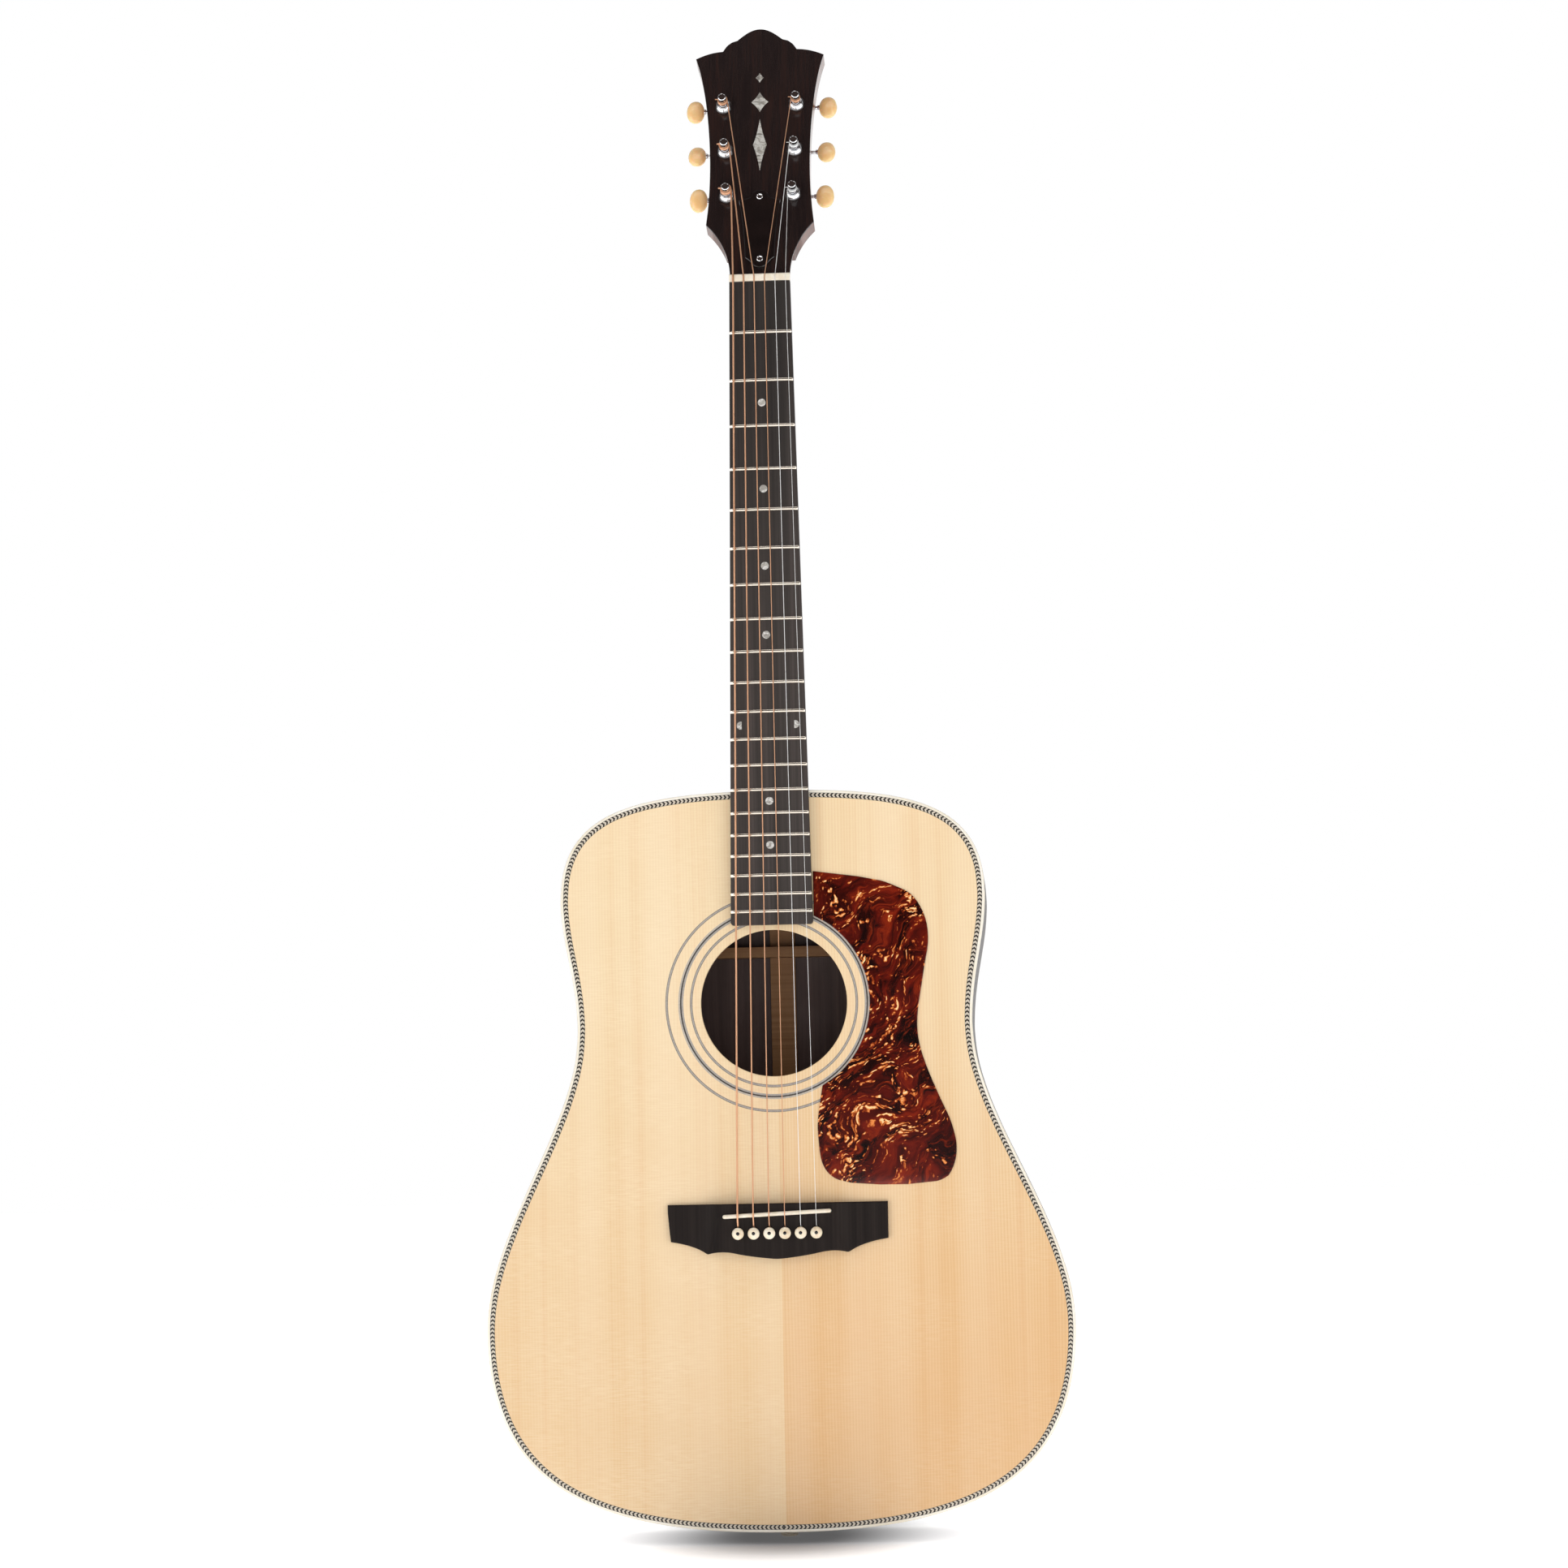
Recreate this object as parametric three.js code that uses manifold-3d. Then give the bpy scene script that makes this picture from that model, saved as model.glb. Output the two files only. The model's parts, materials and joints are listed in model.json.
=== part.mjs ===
// A steel-string acoustic guitar, as an assembly of separate solids.
// Millimetres. +Z runs up the neck, the soundboard faces -Y, and the bass side is at -X.
// The origin is the centre of the end pin's flat face, the lowest point of the instrument.

import * as THREE from 'three';
import { mergeVertices } from 'three/addons/utils/BufferGeometryUtils.js';
import Module from 'manifold-3d';

const wasm = await Module();
wasm.setup();

// ---- driving dimensions ----

const GLUE = 0.05;              // gap left between faces that are glued together
const CLEARANCE = 0.3;          // gap round a piece that sits in a cut made for it

const SCALE_LENGTH = 650.9;
const BODY_FRET = 14;           // the fret over the joint of neck and body
const FRET_COUNT = 20;

const BODY_LENGTH = 510;
const PIN_STAND = 8;            // the end pin's face to the body's tail
const BODY_TAIL = PIN_STAND;
const BODY_TOP = PIN_STAND + BODY_LENGTH;
const TOP_Y = -60;              // the soundboard's outer face
const TAIL_BACK_Y = 61;         // the back's outer face at the tail
const NECK_BACK_Y = 42;         // the back's outer face at the neck

// Each widest or narrowest point of the body's half outline, with its tangent handles' lengths.
const UPPER_BOUT = { x: 148, z: 444, above: 65.6, below: 32 };
const WAIST = { x: 137.2, z: 352.4, above: 38, below: 64 };
const LOWER_BOUT = { x: 202.8, z: 147, above: 69.5, below: 110 };
const SHOULDER_HANDLE = 90;
const TAIL_HANDLE = 125;
const OUTLINE_STEPS = 9;        // segments in each of the outline's four curves

const TOP_THICK = 2.8;
const BACK_THICK = 2.6;
const SIDE_THICK = 2.2;
const BINDING_WIDE = 1.95;
const BINDING_TALL = 6;
const PLATE_INSET = 2;
const LINING_WIDE = 6;
const LINING_TALL = 11;

const HOLE_Z = 369.8;
const HOLE_RADIUS = 50.8;
const ROSETTE_RADIUS = 66.5;

const BOARD_WIDE_NUT = 42.9;
const BOARD_WIDE_END = 57.2;
const BOARD_END_Z = 423.8;
const BOARD_TOP_Y = -67;
const FRET_TOP_Y = -68.05;
const FRET_WIDE = 2.4;

const NUT_Z = BODY_TOP + SCALE_LENGTH * (1 - 2 ** (-BODY_FRET / 12));
const NUT_THICK = 5.4;
const NUT_TOP_Y = -68.3;
const NUT_SPACING = 7.4;

const BRIDGE_TOP_Y = -69.3;
const BRIDGE_HIGH_Z = 231.7;
const BRIDGE_LOW_Z = 193.7;
const BRIDGE_HALF = 76;
const SADDLE_Z = 224.5;
const SADDLE_TOP_Y = -72.4;
const SADDLE_TILT = Math.atan(3 / 72.4);
const SADDLE_SPACING = 10.8;
const PIN_Z = 211.3;
const PIN_RADIUS = 2.5;

const HEAD_TILT = THREE.MathUtils.degToRad(14);
const HEAD_START_Z = NUT_Z + 5.5;
const HEAD_FACE_Y = TOP_Y - 1;  // the veneer's face where it meets the nut
const HEAD_LONG = 200.5;
const HEAD_THICK = 15.5;
const VENEER_THICK = 1.5;
const WOOD_FACE = VENEER_THICK + CLEARANCE;

const ROD_Y = -52;
const ROD_RADIUS = 3;
const ROD_LOW_Z = 530;
const HEX_NUT_RADIUS = 3.7;

// Each string: its number, gauge radius, and where its post stands on the headstock.
const STRINGS = [
  { number: 6, radius: 0.67, wound: true, postX: -23.7, postV: 64.7 },
  { number: 5, radius: 0.53, wound: true, postX: -24.9, postV: 100.8 },
  { number: 4, radius: 0.41, wound: true, postX: -26.3, postV: 137.4 },
  { number: 3, radius: 0.31, wound: true, postX: 26.3, postV: 137.4 },
  { number: 2, radius: 0.21, wound: false, postX: 24.9, postV: 100.8 },
  { number: 1, radius: 0.16, wound: false, postX: 23.7, postV: 64.7 },
];

// Tuning machine: a single-start worm on the button's shaft drives a gear on the post.
const GEAR_TEETH = 14;
const WORM_OFFSET = 7.8;        // distance between the two axes
const GEAR_PITCH_RADIUS = 5.2;
const WORM_PITCH_RADIUS = WORM_OFFSET - GEAR_PITCH_RADIUS;
const THREAD_PITCH = 2 * Math.PI * GEAR_PITCH_RADIUS / GEAR_TEETH;
const TOOTH_OUT = 0.45;
const TOOTH_IN = 0.7;
const WORM_DEPTH = 20.4;        // the worm's axis behind the headstock's face
const GEAR_THICK = 3;
const POST_RADIUS = 3;
const POST_STAND = 14;
const WINDING_DEPTH = -7;       // where a string meets its post, in front of the headstock's face
const SHAFT_RADIUS = 1.5;
const LUG_OFFSET = 5.6;
const LUG_THICK = 1.6;
const PLATE_DEPTH = HEAD_THICK + CLEARANCE;
const PLATE_THICK = 1.2;
const KNOB_REACH = 15.4;        // from a post's axis to the near end of its button
const KNOB_LONG = 13;
const KNOB_SPIN = [0, -18, -4, -9, -15, -4];   // how each button happens to stand, in degrees, strings 6 to 1

// ---- materials ----

const finish = (color, roughness, metalness = 0) =>
  new THREE.MeshStandardMaterial({ color, roughness, metalness });

const MATERIALS = {
  spruce: finish('#dfb98a', 0.35),
  rosewood: finish('#3b211a', 0.35),
  mahogany: finish('#6d3f27', 0.4),
  fretboard: finish('#2b2725', 0.5),
  veneer: finish('#1d1614', 0.3),
  bone: finish('#ece3cf', 0.45),
  ivoroid: finish('#efe3c4', 0.35),
  tortoise: finish('#3a120d', 0.15),
  chrome: finish('#d5d6d8', 0.15, 1),
  steel: finish('#b9bbbd', 0.3, 1),
  bronze: finish('#b9805a', 0.35, 1),
  button: finish('#e6d3a8', 0.25),
  black: finish('#121212', 0.25),
};

// ---- solids ----

const guitar = new THREE.Group();

function addMesh(parent, name, geometry, material) {
  const mesh = new THREE.Mesh(geometry, MATERIALS[material].clone());
  mesh.name = name;
  parent.add(mesh);
  return mesh;
}

function solidOf(geometry) {
  const bare = geometry.clone();
  bare.deleteAttribute('normal');
  bare.deleteAttribute('uv');
  const merged = mergeVertices(bare, 1e-4);
  return new wasm.Manifold(new wasm.Mesh({
    numProp: 3,
    vertProperties: new Float32Array(merged.attributes.position.array),
    triVerts: new Uint32Array(merged.index.array),
  }));
}

function geometryOf(solid) {
  const mesh = solid.getMesh();
  const geometry = new THREE.BufferGeometry();
  geometry.setAttribute('position', new THREE.BufferAttribute(mesh.vertProperties, 3));
  geometry.setIndex(new THREE.BufferAttribute(mesh.triVerts, 1));
  return geometry;
}

function cut(geometry, ...tools) {
  return geometryOf(tools.reduce((solid, tool) => solid.subtract(solidOf(tool)), solidOf(geometry)));
}

function meet(geometry, other) {
  return geometryOf(solidOf(geometry).intersect(solidOf(other)));
}

function join(geometry, ...others) {
  return geometryOf(others.reduce((solid, other) => solid.add(solidOf(other)), solidOf(geometry)));
}

function box(xLow, xHigh, yLow, yHigh, zLow, zHigh) {
  const geometry = new THREE.BoxGeometry(xHigh - xLow, yHigh - yLow, zHigh - zLow);
  return geometry.translate((xLow + xHigh) / 2, (yLow + yHigh) / 2, (zLow + zHigh) / 2);
}

// A plate whose outline is drawn in X and Z, filling Y from yFront to yBack.
// Either face may be a function of Z, for a face that slopes along the body.
function plate(shape, yFront, yBack, curveSegments = 12) {
  const front = typeof yFront === 'function' ? yFront : () => yFront;
  const back = typeof yBack === 'function' ? yBack : () => yBack;
  const geometry = new THREE.ExtrudeGeometry(shape, { depth: 1, bevelEnabled: false, curveSegments });
  geometry.rotateX(Math.PI / 2);
  const position = geometry.attributes.position;
  for (let i = 0; i < position.count; i += 1) {
    const z = position.getZ(i);
    position.setY(i, position.getY(i) < -0.5 ? front(z) : back(z));
  }
  return geometry;
}

function cylinderY(radius, yLow, yHigh, x, z, segments = 16) {
  const geometry = new THREE.CylinderGeometry(radius, radius, yHigh - yLow, segments);
  return geometry.translate(x, (yLow + yHigh) / 2, z);
}

function cylinderZ(radius, zLow, zHigh, y, segments = 16) {
  const geometry = new THREE.CylinderGeometry(radius, radius, zHigh - zLow, segments);
  return geometry.rotateX(Math.PI / 2).translate(0, y, (zLow + zHigh) / 2);
}

// A closed skin over rings of points, each end closed by a fan round the ring's middle.
// The rings turn anticlockwise as seen from the last ring's side.
function loft(rings) {
  const count = rings[0].length;
  const points = rings.flat();
  const index = [];
  for (let r = 0; r < rings.length - 1; r += 1) {
    for (let k = 0; k < count; k += 1) {
      const a = r * count + k;
      const b = r * count + (k + 1) % count;
      index.push(a, b, b + count, a, b + count, a + count);
    }
  }
  const middle = (ring) => ring.reduce((sum, p) => sum.add(p), new THREE.Vector3()).divideScalar(count);
  const last = (rings.length - 1) * count;
  points.push(middle(rings[0]), middle(rings[rings.length - 1]));
  for (let k = 0; k < count; k += 1) {
    index.push(points.length - 2, (k + 1) % count, k);
    index.push(points.length - 1, last + k, last + (k + 1) % count);
  }
  const geometry = new THREE.BufferGeometry().setFromPoints(points);
  geometry.setIndex(index);
  return geometry;
}

// ---- body outline ----

function outlineCurves() {
  const v = (x, z) => new THREE.Vector2(x, z);
  const bezier = (...points) => new THREE.CubicBezierCurve(...points);
  const at = (bout, rise = 0) => v(bout.x, bout.z + rise);
  return [
    bezier(v(0, BODY_TOP), v(SHOULDER_HANDLE, BODY_TOP), at(UPPER_BOUT, UPPER_BOUT.above), at(UPPER_BOUT)),
    bezier(at(UPPER_BOUT), at(UPPER_BOUT, -UPPER_BOUT.below), at(WAIST, WAIST.above), at(WAIST)),
    bezier(at(WAIST), at(WAIST, -WAIST.below), at(LOWER_BOUT, LOWER_BOUT.above), at(LOWER_BOUT)),
    bezier(at(LOWER_BOUT), at(LOWER_BOUT, -LOWER_BOUT.below), v(TAIL_HANDLE, BODY_TAIL), v(0, BODY_TAIL)),
  ];
}

// The treble half of the outline, moved inwards by inset, from the neck down to the tail.
function halfOutline(inset) {
  const points = [];
  outlineCurves().forEach((curve, part) => {
    for (let i = part === 0 ? 0 : 1; i <= OUTLINE_STEPS; i += 1) {
      const t = i / OUTLINE_STEPS;
      const point = curve.getPoint(t);
      const along = curve.getTangent(t);
      points.push(new THREE.Vector2(point.x + along.y * inset, point.y - along.x * inset));
    }
  });
  return points;
}

const mirrored = (points) => points.map((p) => new THREE.Vector2(-p.x, p.y)).reverse();

function wholeOutline(inset) {
  return [...halfOutline(inset), ...mirrored(halfOutline(inset)).slice(1, -1)];
}

// A band that runs right round the body, between two insets from its outline.
function rim(outerInset, innerInset, yFront, yBack) {
  const whole = plate(new THREE.Shape(wholeOutline(outerInset)), yFront, yBack);
  const middle = plate(new THREE.Shape(wholeOutline(innerInset)), TOP_Y - 10, TAIL_BACK_Y + 10);
  return cut(whole, middle);
}

const backOuter = (z) => TAIL_BACK_Y + (NECK_BACK_Y - TAIL_BACK_Y) * (z - BODY_TAIL) / BODY_LENGTH;
const backInner = (z) => backOuter(z) - BACK_THICK;
const boardHalf = (z) => (BOARD_WIDE_NUT
  + (BOARD_WIDE_END - BOARD_WIDE_NUT) * (NUT_Z - z) / (NUT_Z - BOARD_END_Z)) / 2;

// ---- body shell ----

const TOP_INNER_Y = TOP_Y + TOP_THICK;
const LINING_INNER_Y = TOP_INNER_Y + LINING_TALL;
const LINING_INSET = SIDE_THICK + GLUE;
const TENON_HALF = 9;
const TENON_LOW_Z = 500;
const TENON_TOP_Y = -45;
const TENON_BACK_Y = 18;
const END_PIN_HOLE = 4.2;
const NECK_BLOCK = { half: 45, low: 462, high: BODY_TOP };
const TAIL_BLOCK = { half: 40, low: BODY_TAIL, high: 30 };

// The pocket for the neck's tenon, through the sides and into the neck block.
function mortiseTool() {
  return box(
    -TENON_HALF - CLEARANCE, TENON_HALF + CLEARANCE,
    TENON_TOP_Y - CLEARANCE, TENON_BACK_Y + CLEARANCE, TENON_LOW_Z - CLEARANCE, BODY_TOP + 5,
  );
}

// The end pin's bore, through the sides and the tail block.
function endPinTool() {
  return cylinderZ(END_PIN_HOLE, 0, 60, 0, 20);
}

// The slot and bore of every bridge pin: the slot, on the neck's side, lets the string through.
function pinHoleTools() {
  const reach = [BRIDGE_TOP_Y - 5, -40];
  return STRINGS.flatMap((_, i) => {
    const x = pinX(i);
    return [
      cylinderY(PIN_RADIUS + CLEARANCE, ...reach, x, PIN_Z, 12),
      box(x - 1, x + 1, ...reach, PIN_Z, PIN_Z + 6),
    ];
  });
}

function pinX(i) {
  return (i - 2.5) * SADDLE_SPACING;
}

function addSoundboard() {
  const shape = new THREE.Shape(wholeOutline(PLATE_INSET));
  const hole = new THREE.Path();
  hole.absarc(0, HOLE_Z, HOLE_RADIUS, 0, 2 * Math.PI);
  shape.holes.push(hole);
  const board = plate(shape, TOP_Y, TOP_INNER_Y, 32);
  addMesh(guitar, 'soundboard', cut(board, ...pinHoleTools()), 'spruce');
}

function addBack() {
  const shape = new THREE.Shape(wholeOutline(PLATE_INSET));
  addMesh(guitar, 'back', plate(shape, backInner, backOuter), 'rosewood');
}

function addSide(name, sign) {
  const seam = GLUE;
  const outer = halfOutline(0);
  const inner = halfOutline(SIDE_THICK).reverse();
  const points = [...outer, ...inner].map((p) => new THREE.Vector2(sign * Math.max(p.x, seam), p.y));
  const side = plate(
    new THREE.Shape(points),
    TOP_Y + BINDING_TALL + GLUE,
    (z) => backOuter(z) - BINDING_TALL - GLUE,
  );
  addMesh(guitar, name, cut(side, mortiseTool(), endPinTool()), 'rosewood');
}

function addBindings() {
  const backEdge = (z) => backOuter(z) - BINDING_TALL;
  addMesh(guitar, 'top_binding', rim(0, BINDING_WIDE, TOP_Y, TOP_Y + BINDING_TALL), 'ivoroid');
  addMesh(guitar, 'back_binding', rim(0, BINDING_WIDE, backEdge, backOuter), 'ivoroid');
}

function addLinings() {
  const insets = [LINING_INSET, LINING_INSET + LINING_WIDE];
  const backEdge = (z) => backInner(z) - GLUE;
  const backFront = (z) => backEdge(z) - LINING_TALL;
  addMesh(guitar, 'top_lining', rim(...insets, TOP_INNER_Y + GLUE, LINING_INNER_Y), 'mahogany');
  addMesh(guitar, 'back_lining', rim(...insets, backFront, backEdge), 'mahogany');
}

// A block that fills the body between the linings, against the inside of the sides.
function blockGeometry(halfWide, zLow, zHigh) {
  const inside = new THREE.Shape(wholeOutline(LINING_INSET));
  const filled = plate(inside, LINING_INNER_Y + GLUE, (z) => backInner(z) - LINING_TALL - 2 * GLUE);
  return meet(filled, box(-halfWide, halfWide, TOP_Y, TAIL_BACK_Y, zLow, zHigh));
}

function addBlocks() {
  const neckBlock = blockGeometry(NECK_BLOCK.half, NECK_BLOCK.low, NECK_BLOCK.high);
  const tailBlock = blockGeometry(TAIL_BLOCK.half, TAIL_BLOCK.low, TAIL_BLOCK.high);
  addMesh(guitar, 'neck_block', cut(neckBlock, mortiseTool()), 'mahogany');
  addMesh(guitar, 'tail_block', cut(tailBlock, endPinTool()), 'mahogany');
}

// ---- bracing ----

const BRACE_WIDE = 7;
const X_CROSSING_Z = 286;
const X_HALF_ANGLE = THREE.MathUtils.degToRad(42.5);
const WAIST_BRACE_Z = 432;

// A bar glued to the soundboard between two points of its inner face, and standing tall off it.
function topBar(x1, z1, x2, z2, tall, wide = BRACE_WIDE) {
  const length = Math.hypot(x2 - x1, z2 - z1);
  const bar = new THREE.BoxGeometry(length, tall, wide);
  bar.rotateY(-Math.atan2(z2 - z1, x2 - x1));
  return bar.translate((x1 + x2) / 2, TOP_INNER_Y + GLUE + tall / 2, (z1 + z2) / 2);
}

// The point at height z on one leg of the X.
function legPoint(sign, z) {
  return [sign * (X_CROSSING_Z - z) * Math.tan(X_HALF_ANGLE), z];
}

function addTopBracing() {
  const crossBar = topBar(-136, WAIST_BRACE_Z, 136, WAIST_BRACE_Z, 13, 9);
  const bars = [1, -1].flatMap((sign) => [
    topBar(...legPoint(sign, WAIST_BRACE_Z - 1), ...legPoint(sign, 98), 12),
    topBar(...legPoint(sign, 238), sign * 138, 262, 8, 5),
    topBar(...legPoint(sign, 205), sign * 168, 228, 8, 5),
  ]);
  bars.push(topBar(...legPoint(1, 194), -76, 106, 8));
  bars.push(topBar(...legPoint(1, 160), -30, 58, 8));
  addMesh(guitar, 'top_bracing', join(crossBar, ...bars), 'spruce');
}

function addBridgePlate() {
  const points = [[-42, 232], [42, 232], [74, 197], [-74, 197]].map(([x, z]) => new THREE.Vector2(x, z));
  const sheet = plate(new THREE.Shape(points), TOP_INNER_Y + GLUE, TOP_INNER_Y + 2.6);
  addMesh(guitar, 'bridge_plate', cut(sheet, ...pinHoleTools()), 'mahogany');
}

// Ladder braces across the back, joined along the middle by the strip over its seam.
function addBackBracing() {
  const bars = [
    { z: 448, half: 136, wide: 8 },
    { z: 410.6, half: 132, wide: 7.4 },
    { z: 262, half: 150, wide: 16 },
    { z: 126, half: 190, wide: 16 },
  ].map(({ z, half, wide }) => box(-half, half, -12, 0, z - wide / 2, z + wide / 2));
  const strip = box(-9, 9, -2.2, 0, 46, 458);
  const bracing = join(strip, ...bars);
  const position = bracing.attributes.position;
  for (let i = 0; i < position.count; i += 1) {
    position.setY(i, position.getY(i) + backInner(position.getZ(i)) - GLUE);
  }
  addMesh(guitar, 'back_bracing', bracing, 'spruce');
}

// ---- neck ----

const HEEL_BACK_Y = 40;
const HEEL_THICK = 12;
const HEEL_SWEEP = 60;          // how far the heel's curve runs up the neck
const NECK_DEPTH_NUT = 14.6;
const NECK_DEPTH_HEEL = 16.9;
const LOFT_END_V = 21;          // how far the neck's own loft runs up the headstock
const SLAB_START_V = 18;        // where the headstock's slab starts, inside the loft
const THROAT_HALF = 23.6;       // the slab's half width where it starts
const HEAD_FOOT_HALF = 21.3;    // the headstock's half width at the nut
const POST_HOLE_RADIUS = 4.6;
const SECTION_STEPS = 7;        // segments in each half of the neck's cross-section

const headZ = (v) => HEAD_START_Z + v * Math.cos(HEAD_TILT);
const headPlaneY = (z, depth) =>
  HEAD_FACE_Y + (z - HEAD_START_Z) * Math.tan(HEAD_TILT) + depth / Math.cos(HEAD_TILT);

// How much of the heel's full depth stands at height z: 1 at the body, 0 along the neck.
function heelShare(z) {
  const u = THREE.MathUtils.clamp((z - BODY_TOP - HEEL_THICK) / HEEL_SWEEP, 0, 1);
  return 1 - Math.sqrt(1 - (1 - u) ** 2);
}

function neckUnderside(z) {
  const slope = (NUT_Z - z) / (NUT_Z - BODY_TOP);
  const shaft = TOP_Y + NECK_DEPTH_NUT + (NECK_DEPTH_HEEL - NECK_DEPTH_NUT) * slope;
  if (z > HEAD_START_Z) {
    return headPlaneY(z, HEAD_THICK);
  }
  return shaft + (HEEL_BACK_Y - shaft) * heelShare(z);
}

// One cross-section of the neck: flat on top, rounded below, and squarer towards the headstock.
function neckSection(z) {
  const v = (z - HEAD_START_Z) / Math.cos(HEAD_TILT);
  const half = v < 0 ? boardHalf(Math.min(z, NUT_Z)) : HEAD_FOOT_HALF + 2.6 * (v / 20) ** 2;
  const top = Math.max(TOP_Y, headPlaneY(z, WOOD_FACE));
  const bottom = neckUnderside(z);
  const heel = heelShare(z);
  const square = THREE.MathUtils.smoothstep(z, NUT_Z - 12, headZ(LOFT_END_V));
  const flat = 2 + 8 * heel + (half - 3) * 0.8 * square;
  const powerX = (0.85 + 1.5 * heel) * (1 - 0.75 * square);
  const powerY = (0.95 + 0.75 * heel) * (1 - 0.6 * square);
  const right = [];
  for (let k = 0; k <= SECTION_STEPS; k += 1) {
    const angle = (k / SECTION_STEPS) * (Math.PI / 2);
    right.push([
      flat + (half - flat) * Math.cos(angle) ** powerX * (k === SECTION_STEPS ? 0 : 1),
      top + (bottom - top) * Math.sin(angle) ** powerY,
    ]);
  }
  const left = right.map(([x, y]) => [-x, y]).reverse();
  return [...right, ...left].map(([x, y]) => new THREE.Vector3(x, y, z));
}

function neckStations() {
  const rise = [0, HEEL_THICK - 2, HEEL_THICK, 12.6, 14, 17, 21, 26, 33, 42, 54, 68, 100, 160, 220, 280];
  const body = rise.map((dz) => BODY_TOP + GLUE + dz);
  const faceMeet = HEAD_START_Z - ((headPlaneY(HEAD_START_Z, WOOD_FACE) - TOP_Y) / Math.tan(HEAD_TILT));
  const head = [0.5, 4, 8, 12, 16, LOFT_END_V].map(headZ);
  return [...body, 845, 862, 872, faceMeet, ...head];
}

// The headstock's outline in its own plane: x across, v up from the nut. It starts at height fromV.
function headOutline(fromV = 0) {
  const v = (x, y) => new THREE.Vector2(x, y);
  const dome = new THREE.CubicBezierCurve(v(0, HEAD_LONG), v(6, HEAD_LONG), v(10.8, 196.5), v(16.4, 191.6));
  const lobe = new THREE.QuadraticBezierCurve(v(16.4, 191.6), v(22.6, 191), v(26.8, 183));
  const wing = new THREE.QuadraticBezierCurve(v(26.8, 183), v(36.5, 182.6), v(46.3, 177.6));
  const flank = new THREE.CubicBezierCurve(v(46.3, 177.6), v(37.2, 150), v(32.5, 88), v(38.5, 41.7));
  const throat = new THREE.QuadraticBezierCurve(v(38.5, 41.7), v(22.2, 24.6), v(HEAD_FOOT_HALF, 0.6));
  const half = [dome, lobe, wing, flank, throat].flatMap((curve, i) => {
    const points = curve.getPoints([5, 3, 4, 10, 7][i]);
    return i === 0 ? points : points.slice(1);
  });
  const kept = half.filter((p) => p.y >= fromV);
  if (kept.length < half.length) {
    kept.push(v(THROAT_HALF, fromV));
  }
  return [...kept, ...mirrored(kept).slice(0, -1)];
}

function addHeadstockGroup() {
  const group = new THREE.Group();
  group.position.set(0, HEAD_FACE_Y, HEAD_START_Z);
  group.rotation.x = -HEAD_TILT;
  group.updateMatrix();
  guitar.add(group);
  return group;
}

// Everything that a truss rod needs cut away: its channel, and the pocket under the cover.
function rodTools() {
  const wide = ROD_RADIUS + CLEARANCE;
  const channel = box(-wide, wide, TOP_Y - 2, ROD_Y + wide, ROD_LOW_Z - 7, HEAD_START_Z + 6);
  const pocket = box(-6, 6, TOP_Y - 12, ROD_Y + 4.2, HEAD_START_Z + 4, HEAD_START_Z + 40);
  return [channel, pocket];
}

function postHoleTools(radius) {
  return STRINGS.map(({ postX, postV }) => cylinderY(radius, -5, 25, postX, postV, 12));
}

function addNeck(headstock) {
  const shaft = loft(neckStations().map(neckSection));
  const slab = plate(new THREE.Shape(headOutline(SLAB_START_V)), WOOD_FACE, HEAD_THICK);
  slab.applyMatrix4(headstock.matrix);
  const tenon = box(-TENON_HALF, TENON_HALF, TENON_TOP_Y, TENON_BACK_Y, TENON_LOW_Z, BODY_TOP + 5);
  const holes = postHoleTools(POST_HOLE_RADIUS).map((tool) => tool.applyMatrix4(headstock.matrix));
  addMesh(guitar, 'neck', cut(join(shaft, slab, tenon), ...rodTools(), ...holes), 'mahogany');
}

function addVeneer(headstock) {
  const sheet = plate(new THREE.Shape(headOutline()), 0, VENEER_THICK);
  const inverse = headstock.matrix.clone().invert();
  const pocket = rodTools()[1].applyMatrix4(inverse);
  addMesh(headstock, 'headstock_veneer', cut(sheet, pocket, ...postHoleTools(POST_HOLE_RADIUS)), 'veneer');
}

function addTrussRod() {
  const rod = cylinderZ(ROD_RADIUS, ROD_LOW_Z, HEAD_START_Z + 7, ROD_Y, 10);
  const hexNut = cylinderZ(HEX_NUT_RADIUS, HEAD_START_Z + 6, HEAD_START_Z + 18, ROD_Y, 6);
  addMesh(guitar, 'truss_rod', join(rod, hexNut), 'steel');
}

// The cover is waisted, with a hump at the top and a scalloped foot.
function addTrussCover(headstock) {
  const v = (x, y) => new THREE.Vector2(x, y);
  const curves = [
    new THREE.QuadraticBezierCurve(v(0, 67.5), v(5.6, 67.5), v(6.4, 62)),
    new THREE.QuadraticBezierCurve(v(6.4, 62), v(10, 60.4), v(15, 59.5)),
    new THREE.QuadraticBezierCurve(v(15, 59.5), v(11.2, 40), v(10.5, 13.5)),
    new THREE.QuadraticBezierCurve(v(10.5, 13.5), v(7.6, 12), v(5, 8)),
    new THREE.QuadraticBezierCurve(v(5, 8), v(3, 5.8), v(0, 5.8)),
  ];
  const half = curves.flatMap((curve, i) => curve.getPoints(4).slice(i === 0 ? 0 : 1));
  const outline = [...half, ...mirrored(half).slice(1, -1)];
  addMesh(headstock, 'truss_rod_cover', plate(new THREE.Shape(outline), -1.8, -CLEARANCE), 'black');
}

// ---- fretboard, frets, nut ----

const SLOT_HALF_LONG = 12;
const TANG_THICK = 0.6;
const RAIL_HALF = 1.2;
const RAIL_FRONT_Y = -62.2;
const RAIL_BACK_Y = -60.4;

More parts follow.
